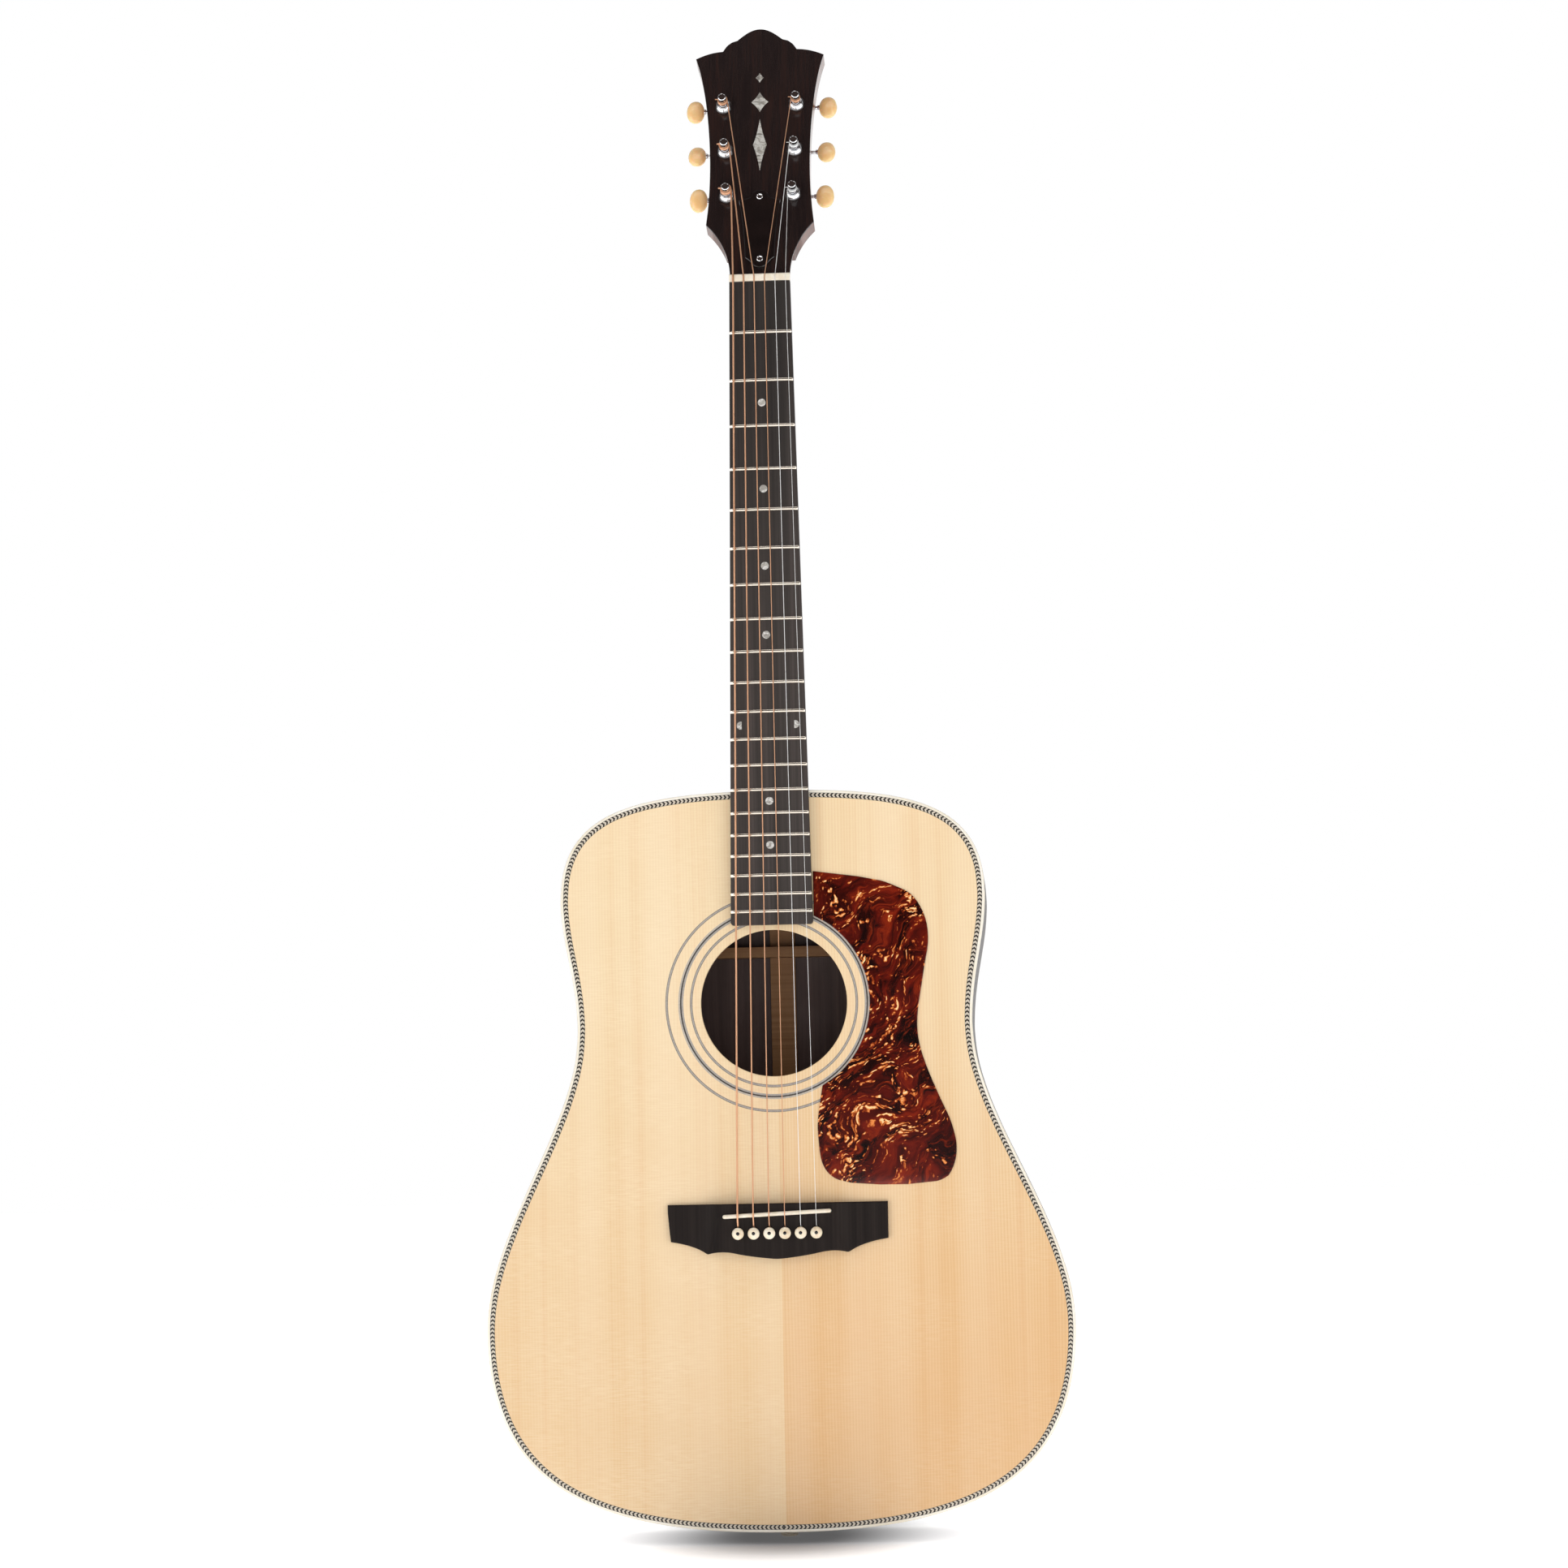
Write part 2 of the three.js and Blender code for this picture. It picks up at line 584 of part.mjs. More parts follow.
const fretZ = (n) => NUT_Z - SCALE_LENGTH * (1 - 2 ** (-n / 12));
const fretNumbers = Array.from({ length: FRET_COUNT }, (_, i) => i + 1);

function addFretboard() {
  const shape = new THREE.Shape();
  const corner = 2.2;
  const half = boardHalf(BOARD_END_Z);
  shape.moveTo(-half + corner, BOARD_END_Z);
  shape.lineTo(half - corner, BOARD_END_Z);
  shape.quadraticCurveTo(half, BOARD_END_Z, boardHalf(BOARD_END_Z + corner), BOARD_END_Z + corner);
  shape.lineTo(BOARD_WIDE_NUT / 2, NUT_Z);
  shape.lineTo(-BOARD_WIDE_NUT / 2, NUT_Z);
  shape.lineTo(-boardHalf(BOARD_END_Z + corner), BOARD_END_Z + corner);
  shape.quadraticCurveTo(-half, BOARD_END_Z, -half + corner, BOARD_END_Z);
  const board = plate(shape, BOARD_TOP_Y, TOP_Y - GLUE, 3);
  const slotHalf = TANG_THICK / 2 + CLEARANCE;
  const slots = fretNumbers.map((n) => box(
    -SLOT_HALF_LONG - CLEARANCE, SLOT_HALF_LONG + CLEARANCE,
    BOARD_TOP_Y - 1, RAIL_FRONT_Y + 0.2 + CLEARANCE, fretZ(n) - slotHalf, fretZ(n) + slotHalf,
  ));
  const groove = box(
    -RAIL_HALF - CLEARANCE, RAIL_HALF + CLEARANCE,
    RAIL_FRONT_Y - CLEARANCE, TOP_Y + 1, fretZ(FRET_COUNT) - 1, fretZ(1) + 1,
  );
  addMesh(guitar, 'fretboard', cut(board, groove, ...slots), 'fretboard');
}

// The fret wires, whose tangs run down to one thin rail under the fretboard.
function addFrets() {
  const pieces = fretNumbers.flatMap((n) => {
    const z = fretZ(n);
    const half = boardHalf(z) - 0.2;
    const crown = new THREE.Shape();
    crown.moveTo(z - FRET_WIDE / 2, BOARD_TOP_Y - GLUE);
    crown.lineTo(z + FRET_WIDE / 2, BOARD_TOP_Y - GLUE);
    crown.lineTo(z + FRET_WIDE / 4, FRET_TOP_Y);
    crown.lineTo(z - FRET_WIDE / 4, FRET_TOP_Y);
    const wire = new THREE.ExtrudeGeometry(crown, { depth: 2 * half, bevelEnabled: false });
    wire.rotateY(-Math.PI / 2).translate(half, 0, 0);
    const tang = box(
      -SLOT_HALF_LONG, SLOT_HALF_LONG, BOARD_TOP_Y - 0.3, RAIL_FRONT_Y + 0.2,
      z - TANG_THICK / 2, z + TANG_THICK / 2,
    );
    return [wire, tang];
  });
  const rail = box(
    -RAIL_HALF, RAIL_HALF, RAIL_FRONT_Y, RAIL_BACK_Y,
    fretZ(FRET_COUNT) - TANG_THICK / 2, fretZ(1) + TANG_THICK / 2,
  );
  addMesh(guitar, 'frets', join(rail, ...pieces), 'steel');
}

function addNut() {
  const half = BOARD_WIDE_NUT / 2;
  const nut = box(-half, half, NUT_TOP_Y, TOP_Y - GLUE, NUT_Z + GLUE, NUT_Z + NUT_THICK);
  addMesh(guitar, 'nut', nut, 'bone');
}

// ---- bridge, saddle, pins ----

const BRIDGE_CORNER_Z = 206.6;
const BRIDGE_CENTRE_HALF = 41;
const WING_EDGE_Y = -63.2;
const SADDLE_HALF = 37.5;
const SADDLE_THICK = 2.8;
const SADDLE_FLOOR_Y = -64.5;

function saddleBlock(halfLong, thick, yFront, yBack) {
  const block = box(-halfLong, halfLong, yFront, yBack, -thick / 2, thick / 2);
  return block.rotateY(-SADDLE_TILT).translate(0, 0, SADDLE_Z);
}

function bridgeShape() {
  const shape = new THREE.Shape();
  shape.moveTo(-BRIDGE_HALF, BRIDGE_HIGH_Z);
  shape.lineTo(-BRIDGE_HALF, BRIDGE_CORNER_Z);
  shape.quadraticCurveTo(-58, 204, -48.5, 197.5);
  shape.quadraticCurveTo(-41, 199.5, -33, 198.4);
  shape.quadraticCurveTo(-16, BRIDGE_LOW_Z + 1, 0, BRIDGE_LOW_Z);
  shape.quadraticCurveTo(16, BRIDGE_LOW_Z + 1, 33, 198.4);
  shape.quadraticCurveTo(41, 199.5, 48.5, 197.5);
  shape.quadraticCurveTo(58, 204, BRIDGE_HALF, BRIDGE_CORNER_Z);
  shape.lineTo(BRIDGE_HALF, BRIDGE_HIGH_Z);
  return shape;
}

// Cuts the top of one wing down to a thin outer edge, along a hollow curve.
function wingTool(sign) {
  const profile = new THREE.Shape();
  const x = (value) => sign * value;
  profile.moveTo(x(BRIDGE_CENTRE_HALF), BRIDGE_TOP_Y - 5);
  profile.lineTo(x(BRIDGE_CENTRE_HALF), BRIDGE_TOP_Y);
  profile.quadraticCurveTo(x(47), WING_EDGE_Y - 1.4, x(BRIDGE_HALF + 1), WING_EDGE_Y);
  profile.lineTo(x(BRIDGE_HALF + 1), BRIDGE_TOP_Y - 5);
  const tool = new THREE.ExtrudeGeometry(profile, { depth: 60, bevelEnabled: false, curveSegments: 6 });
  return tool.translate(0, 0, BRIDGE_LOW_Z - 10);
}

function addBridge() {
  const body = plate(bridgeShape(), BRIDGE_TOP_Y, TOP_Y - GLUE, 4);
  const slotHalf = SADDLE_HALF + CLEARANCE;
  const slot = saddleBlock(slotHalf, SADDLE_THICK + 2 * CLEARANCE, BRIDGE_TOP_Y - 5, SADDLE_FLOOR_Y);
  addMesh(guitar, 'bridge', cut(body, wingTool(1), wingTool(-1), slot, ...pinHoleTools()), 'fretboard');
  const saddle = saddleBlock(SADDLE_HALF, SADDLE_THICK, SADDLE_TOP_Y, SADDLE_FLOOR_Y - GLUE);
  addMesh(guitar, 'saddle', saddle, 'bone');
}

// A tapered pin with a domed head that stands just clear of the bridge.
function addBridgePins() {
  const profile = [
    [0, 26], [1.7, 26], [PIN_RADIUS, 1.6], [PIN_RADIUS, 0], [4.1, 0], [4.1, -0.8], [2.9, -2.1], [0, -2.5],
  ].map(([radius, y]) => new THREE.Vector2(radius, y)).reverse();
  STRINGS.forEach((string, i) => {
    const pin = new THREE.LatheGeometry(profile, 10);
    pin.translate(pinX(i), BRIDGE_TOP_Y - 1.6, PIN_Z);
    addMesh(guitar, `bridge_pin_${string.number}`, pin, 'ivoroid');
  });
}

function addPickguard() {
  const v = (x, z) => new THREE.Vector2(x, HOLE_Z + z);
  const edge = new THREE.SplineCurve([
    v(76, 83.2), v(98, 72), v(108, 47.6), v(103.6, 16), v(99.1, -14), v(101.8, -36.5),
    v(112, -64), v(121, -85), v(124.3, -104), v(119, -120.5), v(109.7, -125.1),
  ]);
  const foot = new THREE.SplineCurve([
    v(52, -125.2), v(39.3, -121.4), v(31.5, -111.5), v(29, -93.6), v(29.1, -80.1), v(32.6, -57.9),
  ]);
  const fromAngle = Math.atan2(-57.9, 32.6);
  const toAngle = Math.atan2(59.9, 28.9);
  const arc = new THREE.EllipseCurve(0, HOLE_Z, ROSETTE_RADIUS, ROSETTE_RADIUS, fromAngle, toAngle);
  const points = [
    v(28.9, 90.9), ...edge.getPoints(22), ...foot.getPoints(12), ...arc.getPoints(12).slice(1),
  ];
  addMesh(guitar, 'pickguard', plate(new THREE.Shape(points), TOP_Y - 1, TOP_Y - GLUE), 'tortoise');
}

function addEndPin() {
  const profile = [
    [0, 0], [4.6, 0], [6.35, 1.8], [6.35, 3.4], [4.6, 4.8], [4.6, PIN_STAND - 0.3],
    [3.9, PIN_STAND - 0.3], [3.3, 30], [0, 30],
  ].map(([radius, z]) => new THREE.Vector2(radius, z));
  addMesh(guitar, 'end_pin', new THREE.LatheGeometry(profile, 14).rotateX(Math.PI / 2), 'ivoroid');
}

// ---- strings ----

// A string runs from its ball end under the bridge plate, up through the pin's slot,
// over the saddle and the nut, to the inner side of its post.
function stringPath(string, i, headstock) {
  const x = pinX(i);
  const r = string.radius;
  const saddleZ = SADDLE_Z + x * Math.tan(SADDLE_TILT);
  const onSaddle = SADDLE_TOP_Y - r - GLUE;
  const nutX = (i - 2.5) * NUT_SPACING;
  const onNut = NUT_TOP_Y - r - GLUE;
  const inward = -Math.sign(string.postX);
  const onPost = new THREE.Vector3(
    string.postX + inward * (POST_RADIUS + CLEARANCE + r), WINDING_DEPTH, string.postV,
  ).applyMatrix4(headstock.matrix);
  const slotZ = PIN_Z + PIN_RADIUS + CLEARANCE + r;
  return [
    [x, -52, slotZ + 1], [x, -64, slotZ + 0.3], [x, -68.2, slotZ + 0.6], [x, -70.5 - r / 2, PIN_Z + 6.6],
    [x, onSaddle, saddleZ - 1.6], [x, onSaddle, saddleZ + 1.4],
    [nutX, onNut, NUT_Z], [nutX, onNut, NUT_Z + NUT_THICK + 0.3],
  ].map((p) => new THREE.Vector3(...p)).concat(onPost);
}

// A tube along straight runs: each ring stands square to the mean of the runs it joins.
function tubeAlong(path, radius, sides) {
  const across = new THREE.Vector3(1, 0, 0);
  return loft(path.map((point, i) => {
    const before = path[Math.max(i - 1, 0)];
    const after = path[Math.min(i + 1, path.length - 1)];
    const along = after.clone().sub(before).normalize();
    const up = along.clone().cross(across).normalize();
    const side = up.clone().cross(along);
    return Array.from({ length: sides }, (_, k) => {
      const angle = 2 * Math.PI * k / sides;
      const rim = side.clone().multiplyScalar(Math.cos(angle)).addScaledVector(up, Math.sin(angle));
      return point.clone().addScaledVector(rim, radius);
    });
  }));
}

function addStrings(headstock) {
  STRINGS.forEach((string, i) => {
    const path = stringPath(string, i, headstock);
    const ball = cylinderY(1.9, -54.4, -51.4, path[0].x, path[0].z, 8);
    const tube = tubeAlong(path, string.radius, 6);
    addMesh(guitar, `string_${string.number}`, join(tube, ball), string.wound ? 'bronze' : 'steel');
  });
}

// ---- tuning machines ----

// A ring of points round a line parallel to X through (y, z).
function ringX(x, y, z, count, radiusAt) {
  return Array.from({ length: count }, (_, k) => {
    const angle = 2 * Math.PI * k / count;
    const [dy, dz] = radiusAt(angle);
    return new THREE.Vector3(x, y + dy, z + dz);
  });
}

const round = (radius) => (angle) => [radius * Math.cos(angle), radius * Math.sin(angle)];

// The worm's radius at a turn angle and a distance along it from a crest on the gear's side.
function threadRadius(angle, along) {
  const turn = along / THREAD_PITCH - (angle + Math.PI / 2) / (2 * Math.PI);
  const off = Math.abs(turn - Math.round(turn));
  const share = THREE.MathUtils.clamp((0.27 - off) / 0.14, 0, 1);
  return WORM_PITCH_RADIUS - TOOTH_IN + (TOOTH_IN + TOOTH_OUT) * share;
}

// The button's cross-section: a rounded oval, turned about the shaft by spin.
function ovalAt(tall, thick, spin) {
  return (angle) => {
    const y = (thick / 2) * Math.cos(angle - spin);
    const z = (tall / 2) * Math.sin(angle - spin);
    return [y * Math.cos(spin) - z * Math.sin(spin), y * Math.sin(spin) + z * Math.cos(spin)];
  };
}

// Worm, shaft and button turn as one piece.
function knobGeometry({ postX, postV }, spin) {
  const side = Math.sign(postX);
  const z = postV + WORM_OFFSET;
  const sides = 8;
  const ring = (reach, section) => ringX(postX + side * reach, WORM_DEPTH, z, sides, section);
  const wormHalf = 4.4;
  const turns = Math.round((2 * wormHalf) / (THREAD_PITCH / 5));
  const shaftEnd = -LUG_OFFSET - LUG_THICK / 2 - 0.5;
  const rings = [ring(shaftEnd, round(SHAFT_RADIUS)), ring(-wormHalf, round(SHAFT_RADIUS))];
  for (let i = 1; i < turns; i += 1) {
    const reach = -wormHalf + (2 * wormHalf * i) / turns;
    rings.push(ring(reach, (angle) => round(threadRadius(angle, side * reach))(angle)));
  }
  rings.push(ring(wormHalf, round(SHAFT_RADIUS)), ring(KNOB_REACH - 2.2, round(SHAFT_RADIUS)));
  rings.push(ring(KNOB_REACH - 2.1, round(2.6)), ring(KNOB_REACH, round(2.6)));
  const profile = [[0.05, 0.5, 0.7], [0.2, 0.85, 0.92], [0.5, 1, 1], [0.8, 0.88, 0.92], [1, 0.45, 0.6]];
  for (const [share, tall, thick] of profile) {
    rings.push(ring(KNOB_REACH + share * KNOB_LONG, ovalAt(18.5 * tall, 7.4 * thick, spin)));
  }
  return loft(side > 0 ? rings : rings.reverse());
}

// The gear's teeth are turned a little across its thickness, to follow the worm's lead.
function gearGeometry() {
  const lead = THREAD_PITCH / (2 * Math.PI);
  const halfTwist = (lead * Math.asin(GEAR_THICK / 2 / WORM_PITCH_RADIUS)) / GEAR_PITCH_RADIUS;
  const corners = [[-0.38, -TOOTH_IN], [-0.13, TOOTH_OUT], [0.13, TOOTH_OUT], [0.38, -TOOTH_IN]];
  const ring = (y, twist) => {
    const points = [];
    for (let tooth = 0; tooth < GEAR_TEETH; tooth += 1) {
      for (const [share, rise] of corners) {
        const angle = Math.PI / 2 + (2 * Math.PI * (tooth + 0.5 + share * 0.8)) / GEAR_TEETH + twist;
        const radius = GEAR_PITCH_RADIUS + rise;
        points.push(new THREE.Vector3(radius * Math.cos(angle), y, radius * Math.sin(angle)));
      }
    }
    return points.reverse();
  };
  const low = WORM_DEPTH - GEAR_THICK / 2;
  return loft([ring(low, halfTwist), ring(low + GEAR_THICK, -halfTwist)]);
}

function postGeometry() {
  const profile = [
    [0, -POST_STAND], [POST_RADIUS - 0.6, -POST_STAND], [POST_RADIUS, -POST_STAND + 1],
    [POST_RADIUS, WINDING_DEPTH - 2.5], [POST_RADIUS - 0.4, WINDING_DEPTH],
    [POST_RADIUS, WINDING_DEPTH + 2.5], [POST_RADIUS, WORM_DEPTH + 3.4], [0, WORM_DEPTH + 3.4],
  ].map(([radius, y]) => new THREE.Vector2(radius, y));
  return join(new THREE.LatheGeometry(profile, 10), gearGeometry());
}

function bushingGeometry() {
  const bore = POST_RADIUS + CLEARANCE;
  const profile = [
    [bore, 9], [bore, -3.6], [4, -3.6], [5.9, -1.2],
    [5.9, -CLEARANCE], [4.3, -CLEARANCE], [4.3, 9], [bore, 9],
  ].map(([radius, y]) => new THREE.Vector2(radius, y));
  return new THREE.LatheGeometry(profile, 10);
}

// The base plate is screwed to the headstock's back, and its two lugs carry the worm's shaft.
function tunerPlateGeometry() {
  const shape = new THREE.Shape();
  shape.moveTo(-7, -9);
  shape.lineTo(7, -9);
  shape.lineTo(7, 15);
  shape.lineTo(-7, 15);
  const hole = new THREE.Path();
  hole.absarc(0, 0, POST_RADIUS + CLEARANCE, 0, 2 * Math.PI);
  shape.holes.push(hole);
  const base = plate(shape, PLATE_DEPTH, PLATE_DEPTH + PLATE_THICK, 6);
  const lugs = [-1, 1].map((side) => {
    const x = side * LUG_OFFSET;
    const z = WORM_OFFSET;
    const half = LUG_THICK / 2;
    const lug = box(x - half, x + half, PLATE_DEPTH + 0.6, WORM_DEPTH + 3, z - 2.8, z + 2.8);
    const bore = new THREE.CylinderGeometry(SHAFT_RADIUS + CLEARANCE, SHAFT_RADIUS + CLEARANCE, 4, 12);
    return cut(lug, bore.rotateZ(Math.PI / 2).translate(x, WORM_DEPTH, z));
  });
  return join(base, ...lugs);
}

function addTuner(headstock, string, i) {
  const { number, postX, postV } = string;
  const place = (mesh) => mesh.position.set(postX, 0, postV);
  const spin = THREE.MathUtils.degToRad(KNOB_SPIN[i]);
  place(addMesh(headstock, `tuner_plate_${number}`, tunerPlateGeometry(), 'chrome'));
  place(addMesh(headstock, `post_bushing_${number}`, bushingGeometry(), 'chrome'));
  place(addMesh(headstock, `string_post_${number}`, postGeometry(), 'chrome'));
  addMesh(headstock, `tuner_button_${number}`, knobGeometry(string, spin), 'button');
}

// ---- assembly ----

addSoundboard();
addBack();
addSide('side_treble', 1);
addSide('side_bass', -1);
addBindings();
addLinings();
addBlocks();
addTopBracing();
addBridgePlate();
addBackBracing();

const headstock = addHeadstockGroup();
addNeck(headstock);
addVeneer(headstock);
addTrussRod();
addTrussCover(headstock);
addFretboard();
addFrets();
addNut();
addBridge();
addBridgePins();
addPickguard();
addEndPin();
addStrings(headstock);
STRINGS.forEach((string, i) => addTuner(headstock, string, i));

export default guitar;
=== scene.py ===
"""The looks of an acoustic guitar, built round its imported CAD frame.

Shapes are worked out in millimetres and turned to metres when their mesh is made.
X points right as seen from the front, the soundboard faces -Y and Z runs up the neck.
"""

import json
import math

import bmesh
import bpy
import numpy as np
from mathutils import Matrix, Vector
from mathutils.geometry import tessellate_polygon


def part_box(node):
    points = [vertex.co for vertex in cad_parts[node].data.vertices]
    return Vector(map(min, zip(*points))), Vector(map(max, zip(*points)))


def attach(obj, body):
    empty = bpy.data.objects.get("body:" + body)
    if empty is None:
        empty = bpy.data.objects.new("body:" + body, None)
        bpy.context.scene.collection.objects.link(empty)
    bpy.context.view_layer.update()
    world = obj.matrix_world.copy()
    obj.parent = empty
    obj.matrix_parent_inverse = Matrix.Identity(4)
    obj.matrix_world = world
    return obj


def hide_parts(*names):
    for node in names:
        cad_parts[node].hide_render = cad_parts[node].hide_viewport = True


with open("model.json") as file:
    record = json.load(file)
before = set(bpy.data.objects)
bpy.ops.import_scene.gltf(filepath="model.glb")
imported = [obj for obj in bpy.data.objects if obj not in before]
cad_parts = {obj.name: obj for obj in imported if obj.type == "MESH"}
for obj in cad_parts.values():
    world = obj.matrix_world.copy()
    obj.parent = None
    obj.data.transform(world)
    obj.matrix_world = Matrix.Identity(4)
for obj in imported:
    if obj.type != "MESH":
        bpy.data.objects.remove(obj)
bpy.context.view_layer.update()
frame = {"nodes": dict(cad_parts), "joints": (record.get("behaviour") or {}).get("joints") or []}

MM = 0.001
BODY = "guitar"
WELD = 1e-5                     # points closer than this count as one


def turns(steps):
    """Angles that share a full turn into equal steps."""
    return [2 * math.pi * k / steps for k in range(steps)]


def at(x, y, z):
    return Matrix.Translation((x, y, z))


def linked(name, data):
    """A new object in the scene, made of this data."""
    thing = bpy.data.objects.new(name, data)
    bpy.context.scene.collection.objects.link(thing)
    return thing


def mesh_data(name, mesh):
    """A bmesh as Blender's own kind of mesh. The bmesh is freed."""
    data = bpy.data.meshes.new(name)
    mesh.to_mesh(data)
    mesh.free()
    return data


# ---------------------------------------------------------------- reading the frame

def box(node):
    """Lowest and highest corner of a CAD node, in millimetres."""
    low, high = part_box(node)
    return low / MM, high / MM


def middle(node):
    low, high = box(node)
    return (low + high) / 2


def face_loops(node, normal):
    """The closed outlines of a CAD node's outermost flat face towards normal, longest first."""
    normal = Vector(normal).normalized()
    mesh = bmesh.new()
    mesh.from_mesh(frame["nodes"][node].data)
    bmesh.ops.remove_doubles(mesh, verts=mesh.verts, dist=1e-6)
    reach = max(v.co.dot(normal) for v in mesh.verts)
    flat = {f for f in mesh.faces if all(v.co.dot(normal) > reach - 2e-5 for v in f.verts)}
    rim = [e for e in mesh.edges if sum(f in flat for f in e.link_faces) == 1]
    joined = {}
    for edge in rim:
        for v in edge.verts:
            joined.setdefault(v, []).append(edge.other_vert(v))
    loops = []
    while joined:
        loop = [next(iter(joined))]
        while True:
            step = [v for v in joined.get(loop[-1], []) if v not in loop[-2:] + loop[1:]]
            if not step or step[0] is loop[0]:
                break
            loop.append(step[0])
        for v in loop:
            joined.pop(v, None)
        loops.append([v.co / MM for v in loop])
    mesh.free()
    return sorted(loops, key=perimeter, reverse=True)


def perimeter(loop):
    return sum((p - loop[i - 1]).length for i, p in enumerate(loop))


def anticlockwise(loop):
    """A flat loop of (across, up) pairs, turned so that it runs anticlockwise."""
    area = sum(loop[i - 1][0] * p[1] - p[0] * loop[i - 1][1] for i, p in enumerate(loop))
    return loop if area > 0 else loop[::-1]


def flat_loop(points, to_plane):
    """The (x, z) pairs of a loop of points, in the plane that to_plane leads to."""
    placed = [to_plane @ p for p in points]
    return anticlockwise([Vector((p.x, p.z)) for p in placed])


def smooth(loop, per_span, corner):
    """A denser closed loop through the same points, round everywhere but at its sharp corners."""
    count = len(loop)
    ways = [(loop[(i + 1) % count] - loop[i]).normalized() for i in range(count)]
    dense = []
    for i, start in enumerate(loop):
        end = loop[(i + 1) % count]
        length = (end - start).length
        leave = blended(ways[i - 1], ways[i], corner) or ways[i]
        arrive = blended(ways[i], ways[(i + 1) % count], corner) or ways[i]
        for k in range(per_span):
            t = k / per_span
            dense.append(
                start * (2 * t**3 - 3 * t**2 + 1) + end * (3 * t**2 - 2 * t**3)
                + leave * length * (t**3 - 2 * t**2 + t) + arrive * length * (t**3 - t**2)
            )
    return dense


def smooth_outline(node, normal, per_span, corner, to_plane=Matrix.Identity(4)):
    """The outline of a CAD node's outermost flat face, denser and smooth."""
    return smooth(flat_loop(face_loops(node, normal)[0], to_plane), per_span, corner)


def blended(before, after, corner):
    """The direction halfway between two runs, or nothing where they meet at a sharp corner."""
    if before.angle(after) > math.radians(corner):
        return None
    return (before + after).normalized()


def inset(loop, distance):
    """An anticlockwise loop moved inwards by distance, or outwards if it is negative."""
    count = len(loop)
    moved = []
    for i, p in enumerate(loop):
        before = (p - loop[i - 1]).normalized()
        after = (loop[(i + 1) % count] - p).normalized()
        square = Vector((-before.y - after.y, before.x + after.x))
        share = max(square.length_squared / 4, 0.2)
        moved.append(p + square / 2 * (distance / share))
    return moved


# ---------------------------------------------------------------- making meshes

def finished(name, mesh, materials, node=None, body=BODY, sharp=35):
    """Turns a millimetre bmesh into a named piece that rides on its body and may stand for a CAD node."""
    bmesh.ops.recalc_face_normals(mesh, faces=mesh.faces)
    bmesh.ops.scale(mesh, vec=(MM, MM, MM), verts=mesh.verts)
    data = mesh_data(name, mesh)
    for polygon in data.polygons:
        polygon.use_smooth = True
    data.set_sharp_from_angle(angle=math.radians(sharp))
    piece = linked(name, data)
    for material in materials if isinstance(materials, list) else [materials]:
        data.materials.append(material)
    weigh = piece.modifiers.new("even_shading", "WEIGHTED_NORMAL")
    weigh.keep_sharp = True
    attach(piece, body)
    if node:
        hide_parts(node)


def raised(p, y):
    """A point of a flat outline, at a depth that may be a function of z."""
    return Vector((p.x, y(p.y) if callable(y) else y, p.y))


def skin(mesh, rings, closed_ends=True, along_uv=None):
    """Adds quads between rings of points, a face over each end, and UVs as a function of ring and point."""
    uv = mesh.loops.layers.uv.verify() if along_uv else None
    placed = [[mesh.verts.new(p) for p in ring] for ring in rings]
    count = len(rings[0])
    for r in range(len(placed) - 1):
        for k in range(count):
            j = (k + 1) % count
            face = mesh.faces.new([placed[r][k], placed[r][j], placed[r + 1][j], placed[r + 1][k]])
            if uv:
                corners = [(r, k), (r, j), (r + 1, j), (r + 1, k)]
                for loop, corner in zip(face.loops, corners):
                    loop[uv].uv = along_uv(*corner)
    if closed_ends:
        for ring in (placed[0], placed[-1]):
            mesh.faces.new(ring)
    return placed


def cap(mesh, rings):
    """Fills a flat face bounded by its first ring of vertices, leaving the other rings open."""
    corners = [v for ring in rings for v in ring]
    for triangle in tessellate_polygon([[v.co.copy() for v in ring] for ring in rings]):
        try:
            mesh.faces.new([corners[i] for i in triangle])
        except ValueError:
            continue  # a sliver whose corners already have their face


def slab(outline, profile, holes=(), place=Matrix.Identity(4)):
    """A plate drawn in X and Z. The profile lists (inset, y) from its back face to its front one;
    y may be a function of z. A hole is a loop with its own profile, whose inset widens it."""
    mesh = bmesh.new()
    stacks = []
    for loop, steps, sign in [(outline, profile, 1)] + [(h, p, -1) for h, p in holes]:
        rings = []
        for move, y in steps:
            rings.append([place @ raised(p, y) for p in inset(loop, sign * move)])
        stacks.append(skin(mesh, rings, closed_ends=False))
    cap(mesh, [stack[0] for stack in stacks])
    cap(mesh, [stack[-1] for stack in stacks])
    return mesh


def band(outline, profile):
    """A strip that follows an outline in X and Z. The profile is a closed loop of (inset, y).
    Its U is the distance along the outline from its first point, by the shorter way; its V is the inset."""
    mesh = bmesh.new()
    depths = [inset(outline, move) for move, _ in profile]
    rings = []
    for spots in zip(*depths):
        rings.append([raised(p, y) for p, (_, y) in zip(spots, profile)])
    steps = [(outline[(i + 1) % len(outline)] - p).length for i, p in enumerate(outline)]
    travel = np.concatenate([[0], np.cumsum(steps)])

    def along(r, k):
        return min(travel[r], travel[-1] - travel[r]), profile[k][0]

    skin(mesh, rings + rings[:1], closed_ends=False, along_uv=along)
    bmesh.ops.remove_doubles(mesh, verts=mesh.verts, dist=WELD)
    return mesh


def lofted(rings, **how):
    """A new mesh with one skin over its rings of points."""
    mesh = bmesh.new()
    skin(mesh, rings, **how)
    return mesh


